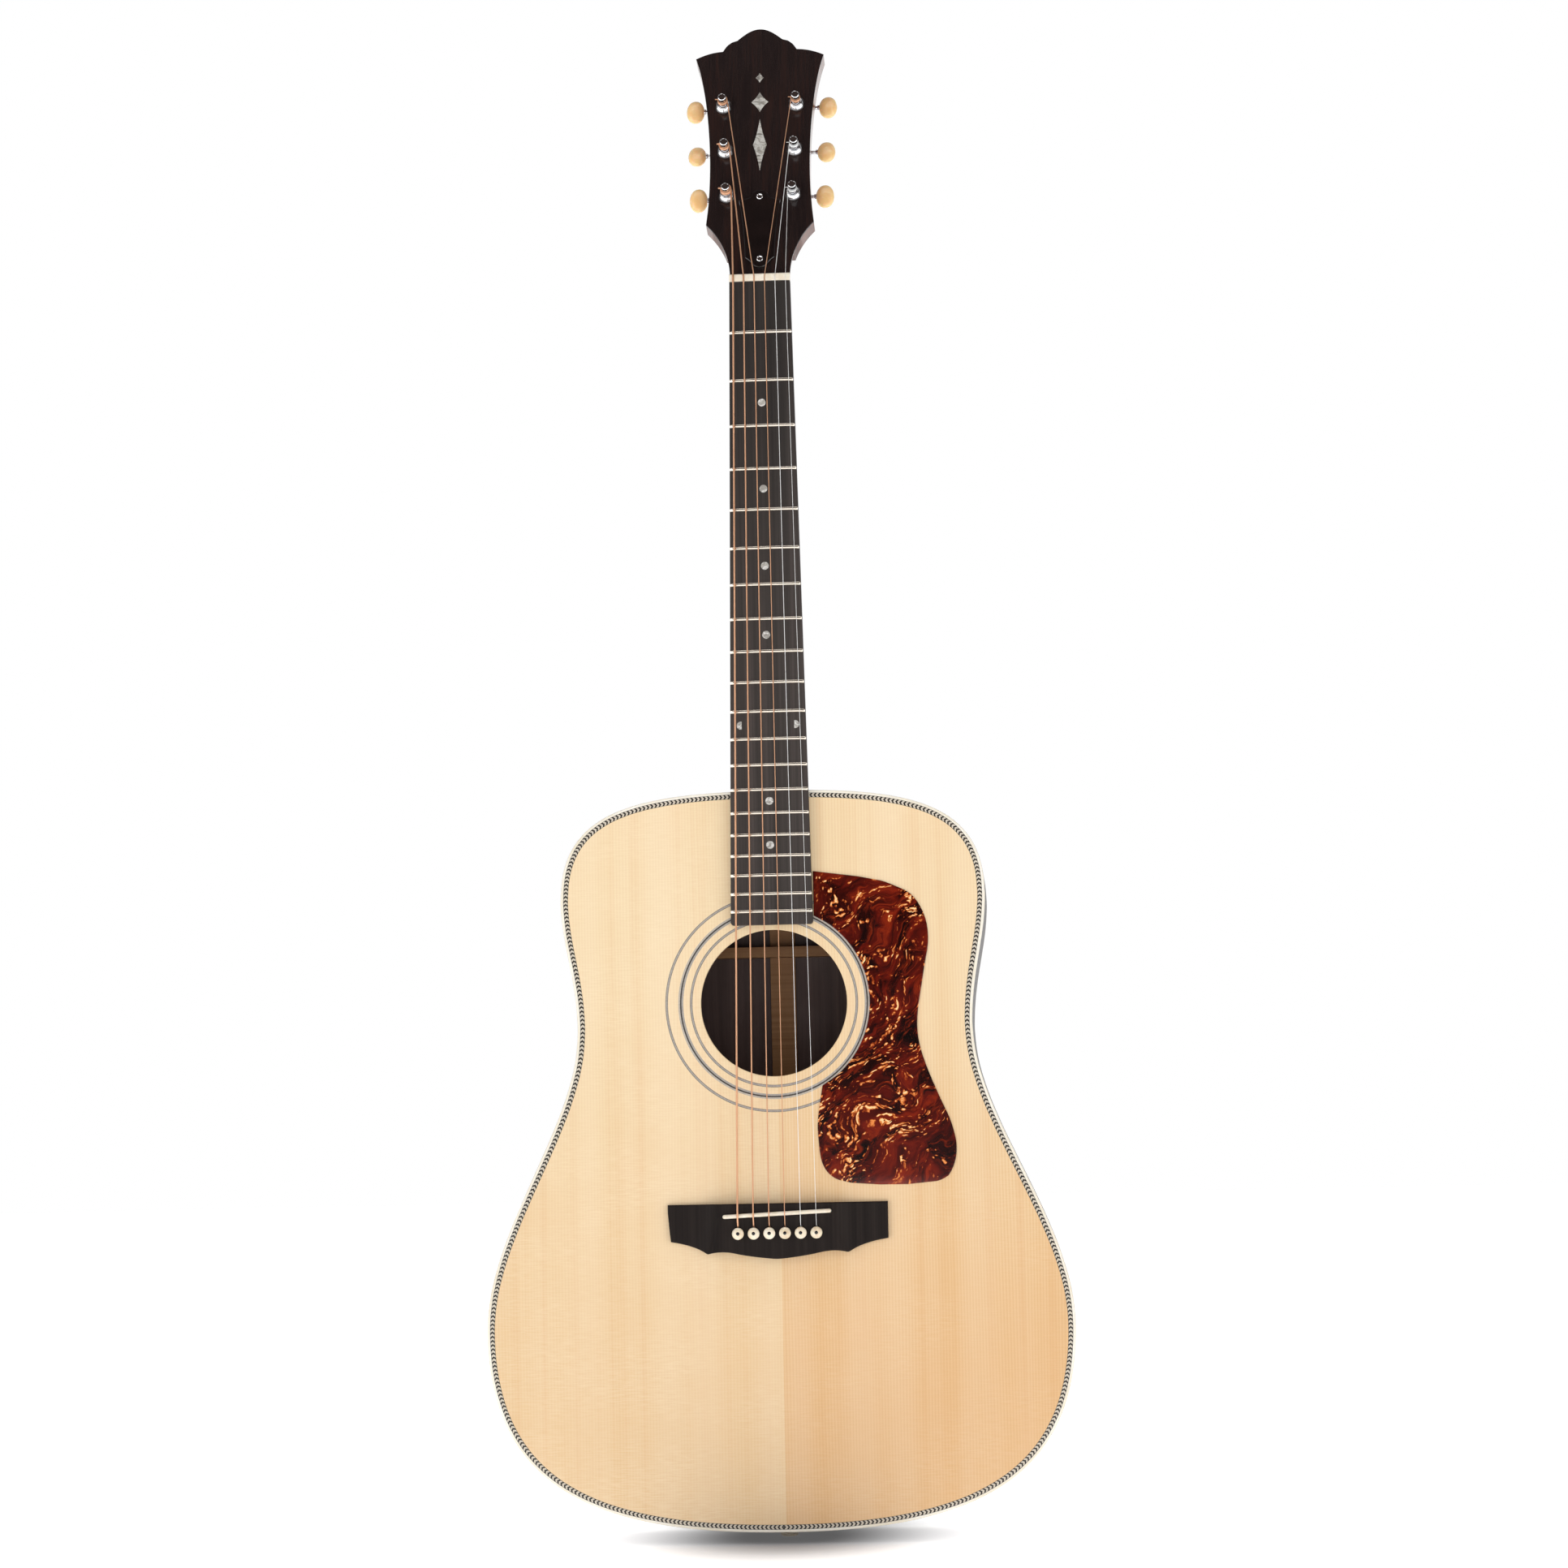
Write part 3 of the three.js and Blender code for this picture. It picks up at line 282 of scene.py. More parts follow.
def round_ring(place, radius, height, steps):
    """A ring of points round the local Y axis."""
    return [place @ Vector((radius * math.cos(a), height, radius * math.sin(a))) for a in turns(steps)]


def lathe(profile, place, steps=48, material_at=None):
    """Turns a profile of (radius, height) pairs, from axis to axis, round the local Y axis."""
    mesh = bmesh.new()
    rings = [round_ring(place, radius, height, steps) for radius, height in profile[1:-1]]
    placed = skin(mesh, rings, closed_ends=False)
    for (_, height), ring in ((profile[0], placed[0]), (profile[-1], placed[-1])):
        tip = mesh.verts.new(place @ Vector((0, height, 0)))
        for k in range(steps):
            mesh.faces.new([tip, ring[k], ring[(k + 1) % steps]])
    if material_at:
        inverse = place.inverted()
        for face in mesh.faces:
            spot = inverse @ face.calc_center_median()
            face.material_index = material_at(math.hypot(spot.x, spot.z), spot.y)
    return mesh


def tube(path, radius, sides=10):
    """A round rod along a path of points, closed at both ends."""
    rings = []
    side = None
    for i, p in enumerate(path):
        along = (path[min(i + 1, len(path) - 1)] - path[max(i - 1, 0)]).normalized()
        side = along.orthogonal() if side is None else side - along * side.dot(along)
        side.normalize()
        other = along.cross(side)
        rings.append([p + radius * (side * math.cos(a) + other * math.sin(a)) for a in turns(sides)])
    return lofted(rings)


def rounded(points, radius):
    """The same path with each bend turned into an arc."""
    steps = 6
    path = [points[0]]
    for before, p, after in zip(points, points[1:], points[2:]):
        reach = min(radius, (p - before).length * 0.45, (after - p).length * 0.45)
        enter = p + (before - p).normalized() * reach
        leave = p + (after - p).normalized() * reach
        for k in range(steps + 1):
            t = k / steps
            path.append(enter * (1 - t) ** 2 + p * 2 * t * (1 - t) + leave * t**2)
    return path + [points[-1]]


def circle(x, z, radius, steps):
    return [Vector((x + radius * math.cos(a), z + radius * math.sin(a))) for a in turns(steps)]


def block(low, high):
    mesh = bmesh.new()
    bmesh.ops.create_cube(mesh, size=1)
    size = Vector(high) - Vector(low)
    bmesh.ops.scale(mesh, vec=size, verts=mesh.verts)
    bmesh.ops.translate(mesh, vec=(Vector(high) + Vector(low)) / 2, verts=mesh.verts)
    return mesh


def combine(mesh, *others, operation="DIFFERENCE"):
    """The exact boolean of one millimetre mesh with others."""
    objects = []
    for part in (mesh, *others):
        bmesh.ops.recalc_face_normals(part, faces=part.faces)
        objects.append(linked("cutting", mesh_data("cutting", part)))
    base, *cutters = objects
    for cutter in cutters:
        step = base.modifiers.new("cut", "BOOLEAN")
        step.operation = operation
        step.solver = "EXACT"
        step.object = cutter
    graph = bpy.context.evaluated_depsgraph_get()
    result = bmesh.new()
    result.from_object(base, graph)
    for thing in objects:
        bpy.data.objects.remove(thing)
    return result


def merged(*parts):
    """One mesh that holds several separate ones, which are freed."""
    whole = bmesh.new()
    for part in parts:
        data = mesh_data("part", part)
        whole.from_mesh(data)
        bpy.data.meshes.remove(data)
    return whole


# ---------------------------------------------------------------- making materials

def tint(hex_colour):
    """A screen colour such as #e0c090 as the linear values that nodes take."""
    parts = [int(hex_colour[i:i + 2], 16) / 255 for i in (1, 3, 5)]
    return tuple(c / 12.92 if c <= 0.04045 else ((c + 0.055) / 1.055) ** 2.4 for c in parts) + (1,)


class Nodes:
    """A node tree being filled. Each method adds a node and gives back its output."""

    def __init__(self, tree):
        self.tree = tree

    def node(self, kind, settings=None, **inputs):
        made = self.tree.nodes.new(kind)
        for key, value in (settings or {}).items():
            setattr(made, key, value)
        for key, value in inputs.items():
            self.feed(made.inputs[key.replace("_", " ")], value)
        return made

    def feed(self, socket, value):
        if isinstance(value, bpy.types.NodeSocket):
            self.tree.links.new(value, socket)
        else:
            socket.default_value = value

    def math(self, operation, a, b=0.0, c=0.0):
        made = self.node("ShaderNodeMath", {"operation": operation})
        for socket, value in zip(made.inputs, (a, b, c)):
            self.feed(socket, value)
        return made.outputs[0]

    def times(self, a, b):
        return self.math("MULTIPLY", a, b)

    def rest(self, value):
        """What a share leaves over."""
        return self.math("SUBTRACT", 1.0, value)

    def scaled(self, vector, by):
        made = self.node("ShaderNodeVectorMath", {"operation": "MULTIPLY"})
        self.feed(made.inputs[0], vector)
        made.inputs[1].default_value = by
        return made.outputs[0]

    def joined(self, x, y, z):
        return self.node("ShaderNodeCombineXYZ", X=x, Y=y, Z=z).outputs[0]

    def rise(self, value, low, high):
        """0 below low, 1 above high, and a smooth step between."""
        made = self.node("ShaderNodeMapRange", {"interpolation_type": "SMOOTHSTEP"}, Value=value)
        made.inputs["From Min"].default_value = low
        made.inputs["From Max"].default_value = high
        return made.outputs[0]

    def span(self, value, low, high):
        """A value from 0 to 1, stretched to run from low to high."""
        return self.math("MULTIPLY_ADD", value, high - low, low)

    def ramp(self, value, *stops):
        """Colours along a value, given as (value, colour) stops."""
        made = self.node("ShaderNodeValToRGB", Fac=value)
        ramp = made.color_ramp
        while len(ramp.elements) < len(stops):
            ramp.elements.new(1.0)
        for element, (spot, colour) in zip(ramp.elements, stops):
            element.position = spot
            element.color = tint(colour)
        return made.outputs[0]

    def mix(self, share, a, b, how="MIX"):
        made = self.node("ShaderNodeMix", {"data_type": "RGBA", "blend_type": how})
        for index, value in ((0, share), (6, a), (7, b)):
            self.feed(made.inputs[index], tint(value) if isinstance(value, str) else value)
        return made.outputs[2]

    def stained(self, colour, stain, share, value, low, high):
        """A colour that takes up this share of a stain where a value rises from low to high."""
        return self.mix(self.times(self.rise(value, low, high), share), colour, stain)


class Finish(Nodes):
    """A material being made, with places and sizes in millimetres."""

    def __init__(self, name):
        self.material = bpy.data.materials.new(name)
        self.material.use_nodes = True
        super().__init__(self.material.node_tree)
        self.shader = self.tree.nodes["Principled BSDF"]
        spot = self.node("ShaderNodeTexCoord")
        self.place = self.scaled(spot.outputs["Object"], (1 / MM, 1 / MM, 1 / MM))
        split = self.node("ShaderNodeSeparateXYZ", Vector=self.place)
        self.x, self.y, self.z = split.outputs
        self.uv = spot.outputs["UV"]

    def noise(self, size, detail=2.0, rough=0.5, warp=0.0, at=None, seed=0.0):
        """Noise from 0 to 1 whose features have this size along X, Y and Z."""
        vector = self.scaled(at or self.place, tuple(1 / s for s in size))
        made = self.node(
            "ShaderNodeTexNoise", {"noise_dimensions": "4D"}, Vector=vector, W=seed, Scale=1.0,
            Detail=detail, Roughness=rough, Distortion=warp,
        )
        return made.outputs[0]

    def bump(self, height, depth):
        """A surface relief of depth millimetres."""
        return self.node("ShaderNodeBump", Height=height, Distance=depth * MM, Strength=1.0).outputs[0]

    def done(self, colour, roughness, **inputs):
        self.feed(self.shader.inputs["Base Color"], tint(colour) if isinstance(colour, str) else colour)
        self.feed(self.shader.inputs["Roughness"], roughness)
        for key, value in inputs.items():
            self.feed(self.shader.inputs[key.replace("_", " ")], value)
        return self.material


def stripes(f, across, pitch):
    """Growth rings: 0 in the pale wood, rising to 1 at each ring's dark late wood."""
    drift = f.noise((60, 60, 300), detail=1.0)
    count = f.math("ADD", f.math("DIVIDE", across, pitch), f.times(drift, 3.0))
    share = f.math("FRACT", count)
    climb = f.rise(share, 0.25, 0.85)
    return f.times(climb, f.rest(f.rise(share, 0.88, 1.0)))


def spruce_top():
    """Bookmatched spruce under clear gloss: upright grain, cross silk, the treble half a shade darker, and
    painted shade that darkens it towards the tail.
    """
    f = Finish("spruce_top")
    seam = f.math("SUBTRACT", f.x, SEAM_X)
    treble = f.rise(seam, -0.15, 0.15)
    off = f.math("ABSOLUTE", seam)
    ring = stripes(f, off, RING_PITCH)
    mirrored = f.joined(off, f.y, f.z)
    streak = f.noise((7, 30, 700), detail=3.0, at=mirrored, seed=2.0)
    broad = f.noise((34, 60, 900), detail=1.0, at=mirrored, seed=5.0)
    cloud = f.noise((60, 60, 90), detail=2.0, seed=9.0)
    silk_spots = f.span(f.rise(f.noise((70, 70, 50), seed=4.0), 0.3, 0.75), 0.3, 1.0)
    silk = f.rise(f.noise((10, 5, 0.9), detail=2.0, warp=0.4, seed=7.0), 0.25, 0.8)
    upward = f.rise(f.z, 60.0, 430.0)
    # Painted shade: the base colour is darker towards the tail and paler up the body, as under light from
    # above.
    base = f.mix(upward, "#e8c798", "#efd7ae")
    # The treble half's darker tone and stronger grain fade out towards the upper bout.
    toned = f.times(treble, f.math("MULTIPLY_ADD", upward, -0.85, 1.0))
    base = f.mix(toned, base, f.mix(1.0, base, "#fbeddd", "MULTIPLY"))
    base = f.mix(f.times(ring, f.span(toned, 0.16, 0.5)), base, "#d7a36b")
    base = f.stained(base, "#dfae76", f.span(toned, 0.35, 0.75), streak, 0.45, 0.8)
    base = f.stained(base, "#fbe9cd", 0.2, broad, 0.35, 0.7)
    base = f.stained(base, "#ebb98a", 0.12, cloud, 0.5, 0.8)
    base = f.mix(f.times(f.times(silk, silk_spots), f.span(treble, 0.4, 0.16)),
                 base, "#fdebcb")
    relief = f.bump(f.math("ADD", ring, f.times(silk, 0.3)), 0.012)
    rough = f.span(f.noise((25, 25, 25), detail=3.0), 0.26, 0.4)
    return f.done(base, rough, Normal=relief, Coat_Weight=0.35, Coat_Roughness=0.12, Specular_IOR_Level=0.35)


def raw_spruce(name, pale, dark, along):
    """Planed, unfinished spruce, for braces and linings inside the body."""
    f = Finish(name)
    grain = f.noise(along, detail=3.0, seed=1.0)
    spots = f.noise((25, 25, 25), detail=2.0, seed=6.0)
    colour = f.ramp(grain, (0.3, dark), (0.7, pale))
    colour = f.mix(f.times(spots, 0.3), colour, dark)
    return f.done(colour, f.span(grain, 0.55, 0.75), Normal=f.bump(grain, 0.05))


def streaked_wood(name, dark, middle, pale, gloss, along=(2.2, 14.0, 260.0), pore=(0.5, 0.9, 9.0)):
    """A dark hardwood with long figure, short open pores and its own polish."""
    f = Finish(name)
    curl = f.noise((90, 90, 260), detail=1.0, seed=3.0)
    bent = f.joined(f.math("MULTIPLY_ADD", curl, 26.0, f.x), f.math("MULTIPLY_ADD", curl, 12.0, f.y), f.z)
    figure = f.noise((along[0] * 4, along[1] * 2, along[2] * 2), detail=4.0, rough=0.55, at=bent, seed=1.0)
    fine = f.noise(along, detail=3.0, rough=0.6, at=bent, seed=8.0)
    open_pore = f.rise(f.noise(pore, detail=1.0, at=bent, seed=5.0), 0.58, 0.72)
    colour = f.ramp(f.math("ADD", f.times(figure, 0.65), f.times(fine, 0.35)),
                    (0.3, dark), (0.5, middle), (0.72, pale))
    colour = f.mix(f.times(open_pore, 0.35), colour, dark)
    rough = f.span(f.noise((30, 30, 30), detail=4.0), gloss * 0.75, gloss * 1.3)
    return f.done(colour, rough, Normal=f.bump(f.times(open_pore, -1.0), 0.02),
                  Coat_Weight=0.5 if gloss < 0.4 else 0.0, Coat_Roughness=0.1)


def dark_board(name, dark, middle, pale, gloss, coat=0.0, shine=0.2, fade=0.0):
    """Nearly black wood: straight faint lines along the neck, fine pores, an oiled or lacquered face."""
    f = Finish(name)
    line = f.noise((1.6, 6.0, 320.0), detail=3.0, rough=0.6, seed=2.0)
    wide = f.noise((7.0, 20.0, 500.0), detail=2.0, seed=6.0)
    pore = f.rise(f.noise((0.4, 0.8, 7.0), detail=1.0, seed=9.0), 0.6, 0.75)
    blend = f.math("ADD", f.times(line, 0.5), f.times(wide, 0.5))
    colour = f.ramp(blend, (0.3, dark), (0.5, middle), (0.7, pale))
    # The wood darkens towards the nut, from 600 to 850 mm up, by the share given as fade.
    colour = f.stained(colour, "#110e0d", fade, f.z, 600.0, 850.0)
    rough = f.span(f.noise((18, 18, 40), detail=4.0, seed=3.0), gloss * 0.8, gloss * 1.25)
    relief = f.bump(f.math("SUBTRACT", line, pore), 0.018)
    return f.done(colour, rough, Normal=relief, Coat_Weight=coat, Coat_Roughness=0.08,
                  Specular_IOR_Level=shine)


def bone():
    f = Finish("bone")
    mottle = f.noise((4, 4, 4), detail=4.0, seed=1.0)
    fibre = f.noise((14, 0.6, 0.6), detail=2.0, seed=2.0)
    colour = f.ramp(mottle, (0.3, "#e5d8c1"), (0.7, "#f4ecdc"))
    colour = f.stained(colour, "#c4ae8b", 0.25, fibre, 0.55, 0.8)
    return f.done(colour, f.span(mottle, 0.28, 0.42), Normal=f.bump(fibre, 0.01),
                  Subsurface_Weight=0.15, Subsurface_Radius=(1.0, 0.7, 0.4), Subsurface_Scale=0.001)


def ivoroid():
    """Cream plastic with the faint parallel lines of its layers, yellowed a little in places."""
    f = Finish("ivoroid")
    layers = f.noise((30, 0.45, 30), detail=2.0, seed=1.0)
    age = f.noise((40, 40, 40), detail=3.0, seed=5.0)
    colour = f.ramp(layers, (0.35, "#f0e7d3"), (0.65, "#faf5e9"))
    colour = f.stained(colour, "#ebdcb8", 0.2, age, 0.5, 0.8)
    return f.done(colour, f.span(age, 0.2, 0.34), Subsurface_Weight=0.1,
                  Subsurface_Radius=(1.0, 0.8, 0.5), Subsurface_Scale=0.001, Coat_Weight=0.3)


def herringbone():
    """Purfling of pale and black chevrons between two thin lines. U runs along it, V across it."""
    f = Finish("herringbone")
    u, v, _ = f.node("ShaderNodeSeparateXYZ", Vector=f.uv).outputs
    across = f.math("DIVIDE", f.math("SUBTRACT", v, BINDING_WIDE), PURFLING_WIDE)
    fold = f.math("ABSOLUTE", f.math("MULTIPLY_ADD", across, 2.0, -1.0))
    lead = f.math("MULTIPLY_ADD", fold, CHEVRON_RAKE, u)
    share = f.math("FRACT", f.math("DIVIDE", lead, CHEVRON_PITCH))
    dark = f.times(f.rise(share, 0.02, 0.1), f.rest(f.rise(share, 0.5, 0.58)))
    line = f.rise(fold, 0.83, 0.88)
    grain = f.noise((0.8, 0.8, 0.8), detail=3.0, seed=3.0)
    pale = f.ramp(grain, (0.3, "#c3b8a6"), (0.7, "#ded5c5"))
    black = f.ramp(grain, (0.3, "#14100e"), (0.7, "#2e2722"))
    colour = f.mix(f.math("MAXIMUM", dark, line), pale, black)
    return f.done(colour, f.span(grain, 0.28, 0.42), Normal=f.bump(dark, 0.01), Coat_Weight=0.3)


def veneer_line(name, dark, pale):
    """One dyed wood strip of the rosette or the purfling."""
    f = Finish(name)
    grain = f.noise((1.1, 1.1, 1.1), detail=3.0, seed=2.0)
    return f.done(f.ramp(grain, (0.3, dark), (0.7, pale)), f.span(grain, 0.26, 0.4), Coat_Weight=0.3)


def tortoise():
    """Mottled plastic: black and maroon clouds, with curled amber flecks gathered along them."""
    f = Finish("tortoise")
    turn = f.noise((50, 40, 50), detail=3.0, seed=1.0)
    lean = f.noise((44, 40, 44), detail=3.0, seed=21.0)
    u = f.math("MULTIPLY_ADD", turn, 60.0, f.x)
    w = f.math("MULTIPLY_ADD", lean, 60.0, f.z)
    # The flow leans to the right: turn the axes before stretching along them.
    c, d = math.cos(LEAN), math.sin(LEAN)
    bent = f.joined(f.math("MULTIPLY_ADD", u, c, f.times(w, d)), f.y,
                    f.math("MULTIPLY_ADD", u, -d, f.times(w, c)))
    cloud = f.noise((30, 14, 14), detail=4.0, rough=0.6, warp=0.7, at=bent, seed=4.0)
    wisp = f.noise((16, 8, 5), detail=4.0, rough=0.65, warp=1.0, at=bent, seed=6.0)
    patch = f.noise((26, 20, 18), detail=2.0, at=bent, seed=15.0)
    colour = f.ramp(cloud, (0.34, "#0b0202"), (0.44, "#2a0604"), (0.54, "#540f06"), (0.68, "#7d1f0a"))
    colour = f.stained(colour, "#8e290c", 0.65, wisp, 0.5, 0.68)
    for size, seed, share in (((6.0, 6, 2.3), 8.0, 0.74), ((3.5, 4, 1.5), 12.0, 0.68)):
        jitter = f.noise((5, 5, 5), detail=2.0, seed=seed)
        spot = f.scaled(bent, tuple(1 / v for v in size))
        drift = f.scaled(f.joined(jitter, 0.0, f.noise((4, 5, 4), detail=2.0, seed=seed + 1)), (2.4, 0, 2.4))
        moved = f.node("ShaderNodeVectorMath", {"operation": "ADD"})
        f.feed(moved.inputs[0], spot)
        f.feed(moved.inputs[1], drift)
        cells = f.node("ShaderNodeTexVoronoi", Vector=moved.outputs[0], Scale=1.0)
        luck = f.node("ShaderNodeSeparateXYZ", Vector=cells.outputs["Color"]).outputs[0]
        chance = f.math("MULTIPLY_ADD", patch, 0.8, f.times(luck, 0.6))
        reach = f.math("SUBTRACT", f.times(f.rise(chance, share + 0.1, share + 0.35), 0.62),
                       cells.outputs["Distance"])
        colour = f.stained(colour, "#a8461a", 0.8, reach, -0.12, 0.02)
        colour = f.mix(f.rise(reach, 0.02, 0.16), colour, "#e58a45")
        colour = f.mix(f.rise(reach, 0.2, 0.34), colour, "#ffd59a")
    rough = f.span(f.noise((20, 20, 20), detail=4.0), 0.1, 0.22)
    return f.done(colour, rough, Coat_Weight=0.25, Coat_Roughness=0.05, Specular_IOR_Level=0.2)


def metal(name, colour, roughness, scratch=(3.0, 3.0, 3.0), depth=0.002, pure=1.0):
    """Bright metal with faint cloudy wear in its polish."""
    f = Finish(name)
    wear = f.noise(scratch, detail=5.0, rough=0.65, seed=1.0)
    shade = f.stained(colour, "#8a8682", 0.25, wear, 0.45, 0.8)
    return f.done(shade, f.span(wear, roughness * 0.6, roughness * 1.5), Metallic=pure,
                  Normal=f.bump(wear, depth))


def wound_wire(name, colour, dark):
    """Bronze wrap: a fine close helix round the core, with painted shade in the grooves between its turns."""
    f = Finish(name)
    turn = f.math("ADD", f.times(f.z, 2 * math.pi / WRAP_PITCH), f.times(f.x, 1.2))
    ridge = f.math("MULTIPLY_ADD", f.math("SINE", turn), 0.5, 0.5)
    tarnish = f.noise((4, 4, 30), detail=3.0, seed=4.0)
    # Painted shade: the grooves between the turns of the wrap are darkened.
    shade = f.mix(f.times(f.rest(ridge), 0.35), colour, dark)
    shade = f.stained(shade, dark, 0.3, tarnish, 0.5, 0.8)
    return f.done(shade, f.span(tarnish, 0.26, 0.42), Metallic=0.85, Normal=f.bump(ridge, 0.03))


def cream_button():
    """Translucent amber-cream plastic with a marbled swirl, and painted light: paler where its surface is
    seen edge-on, so deeper in colour at its heart.
    """
    f = Finish("button_plastic")
    swirl = f.noise((9, 5, 7), detail=3.0, warp=1.5, seed=3.0)
    colour = f.ramp(swirl, (0.25, "#f5c88a"), (0.5, "#f9d196"), (0.75, "#fbdaa2"))
    # Painted light: the colour pales where the surface is seen edge-on, towards the rim.
    facing = f.node("ShaderNodeLayerWeight", Blend=0.45).outputs["Facing"]
    colour = f.mix(f.rise(facing, 0.2, 0.95), colour, "#f9dcaa")
    return f.done(colour, f.span(swirl, 0.2, 0.32), Subsurface_Weight=0.45,
                  Subsurface_Radius=(3.0, 1.6, 0.7), Subsurface_Scale=0.002, Coat_Weight=0.4)


def pin_plastic():
    f = Finish("pin_plastic")
    tone = f.noise((14, 14, 14), detail=2.0, seed=11.0)
    shade = f.noise((2, 2, 2), detail=3.0, seed=1.0)
    colour = f.ramp(f.math("MULTIPLY_ADD", shade, 0.3, f.times(tone, 0.7)),
                    (0.3, "#dcbf98"), (0.48, "#f1e4cb"), (0.7, "#f8f0e0"))
    return f.done(colour, f.span(shade, 0.16, 0.3), Subsurface_Weight=0.25,
                  Subsurface_Radius=(1.2, 0.9, 0.6), Subsurface_Scale=0.001, Coat_Weight=0.5)


def gloss_black(name, low, tone):
    f = Finish(name)
    haze = f.noise((12, 12, 12), detail=5.0, seed=4.0)
    return f.done(f.ramp(haze, (0.3, low), (0.7, tone)), f.span(haze, 0.084, 0.168),
                  Coat_Weight=0.6, Coat_Roughness=0.06, Normal=f.bump(haze, 0.004))


def pearl(name, dark, pale):
    """Mother of pearl: silvery grey, with clouds of light and shade that follow its layers."""
    f = Finish(name)
    layer = f.noise((9, 9, 5), detail=3.0, warp=1.4, seed=2.0)
    colour = f.ramp(layer, (0.3, dark), (0.45, "#a8a49c"), (0.52, pale), (0.6, "#b5b1a8"), (0.72, dark))
    return f.done(colour, f.span(layer, 0.16, 0.34), Metallic=0.2, Coat_Weight=0.4, Coat_Roughness=0.05)


# ---------------------------------------------------------------- sizes, most of them read from the frame

body_low, body_high = box("top_binding")
TOP_Y = body_low.y
BODY_TOP = body_high.z
BINDING_TALL = body_high.y - TOP_Y
BINDING_WIDE = 1.95
PURFLING_WIDE = 3.3
PURFLING_DEEP = 1.4
CHEVRON_PITCH = 2.9
CHEVRON_RAKE = 1.3
PLATE_INSET = 2.0
BACK_EDGE_OUT = 0.8             # how round the body's outer edges are
CLEAR_FRONT = -90.0             # in front of all that is cut through
SEAM_X = 2.0
RING_PITCH = 2.1
WRAP_PITCH = 0.5
LEAN = math.radians(38)          # how far the flow of the pickguard's pattern leans

HOLE_LOOP = face_loops("soundboard", (0, -1, 0))[1]
HOLE_Z = sum(p.z for p in HOLE_LOOP) / len(HOLE_LOOP)
HOLE_RADIUS = sum(math.hypot(p.x, p.z - HOLE_Z) for p in HOLE_LOOP) / len(HOLE_LOOP)

BOARD_LOW, BOARD_HIGH = box("fretboard")
nut_low, nut_high = box("nut")
BOARD_HALF_NUT = (nut_high.x - nut_low.x) / 2
BOARD_HALF_END = BOARD_HIGH.x
BOARD_RADIUS = 400.0            # of the cylinder that the fretboard's top is part of
FRET_TOP_Y = box("frets")[0].y
FRET_HALF_WIDE = 1.2
FRET_COUNT = 20
BODY_FRET = 14
NUT_Z = BOARD_HIGH.z
SCALE_LENGTH = (NUT_Z - BODY_TOP) / (1 - 2 ** (-BODY_FRET / 12))
DOT_RADIUS = 2.75
TO_LEFT = Matrix.Rotation(math.pi / 2, 4, "Z")     # turns the axis of a lathed piece to point left
TO_REAR = Matrix.Rotation(math.pi, 4, "X")         # turns a screw's head to face the rear
DOTTED_FRETS = {3: (0,), 5: (0,), 7: (0,), 9: (0,), 12: (-19.1, 19.1), 15: (0,), 17: (0,)}

VENEER_THICK = 1.5
HEAD_THICK = 15.5
VENEER_FOOT = 0.6               # the veneer's lowest point above the headstock's own origin
HEAD_NORMAL = next(j["axis"] for j in frame["joints"] if j["name"] == "post_turn_6")
HEAD_TILT = math.atan2(HEAD_NORMAL[2], -HEAD_NORMAL[1])
veneer_low = box("headstock_veneer")[0]
HEAD_FACE_Y = veneer_low.y - VENEER_FOOT * math.sin(HEAD_TILT)
HEAD_START_Z = veneer_low.z + VENEER_THICK * math.sin(HEAD_TILT) - VENEER_FOOT * math.cos(HEAD_TILT)
HEAD = at(0, HEAD_FACE_Y, HEAD_START_Z) @ Matrix.Rotation(-HEAD_TILT, 4, "X")
TO_HEAD = HEAD.inverted()

STRING_RADIUS = {6: 0.67, 5: 0.53, 4: 0.41, 3: 0.31, 2: 0.21, 1: 0.16}
STRING_KIND = {n: "wound" if n > 2 else "plain" for n in STRING_RADIUS}
STRING_BALL = [(0, -54.4), (1.9, -54.2), (1.9, -51.6), (0, -51.4)]
POST_WRAPS = {6: 2.4, 5: 2.6, 4: 3.2, 3: 4.0, 2: 4.6, 1: 5.2}
PIVOTS = {j["name"]: Vector(j["pos_m"]) / MM for j in frame["joints"] if "pos_m" in j}
POSTS = {n: TO_HEAD @ PIVOTS[f"post_turn_{n}"] for n in STRING_RADIUS}
worm_pivot = TO_HEAD @ PIVOTS["button_turn_6"]
POST_RADIUS = 3.0
WINDING_Y = -7.0

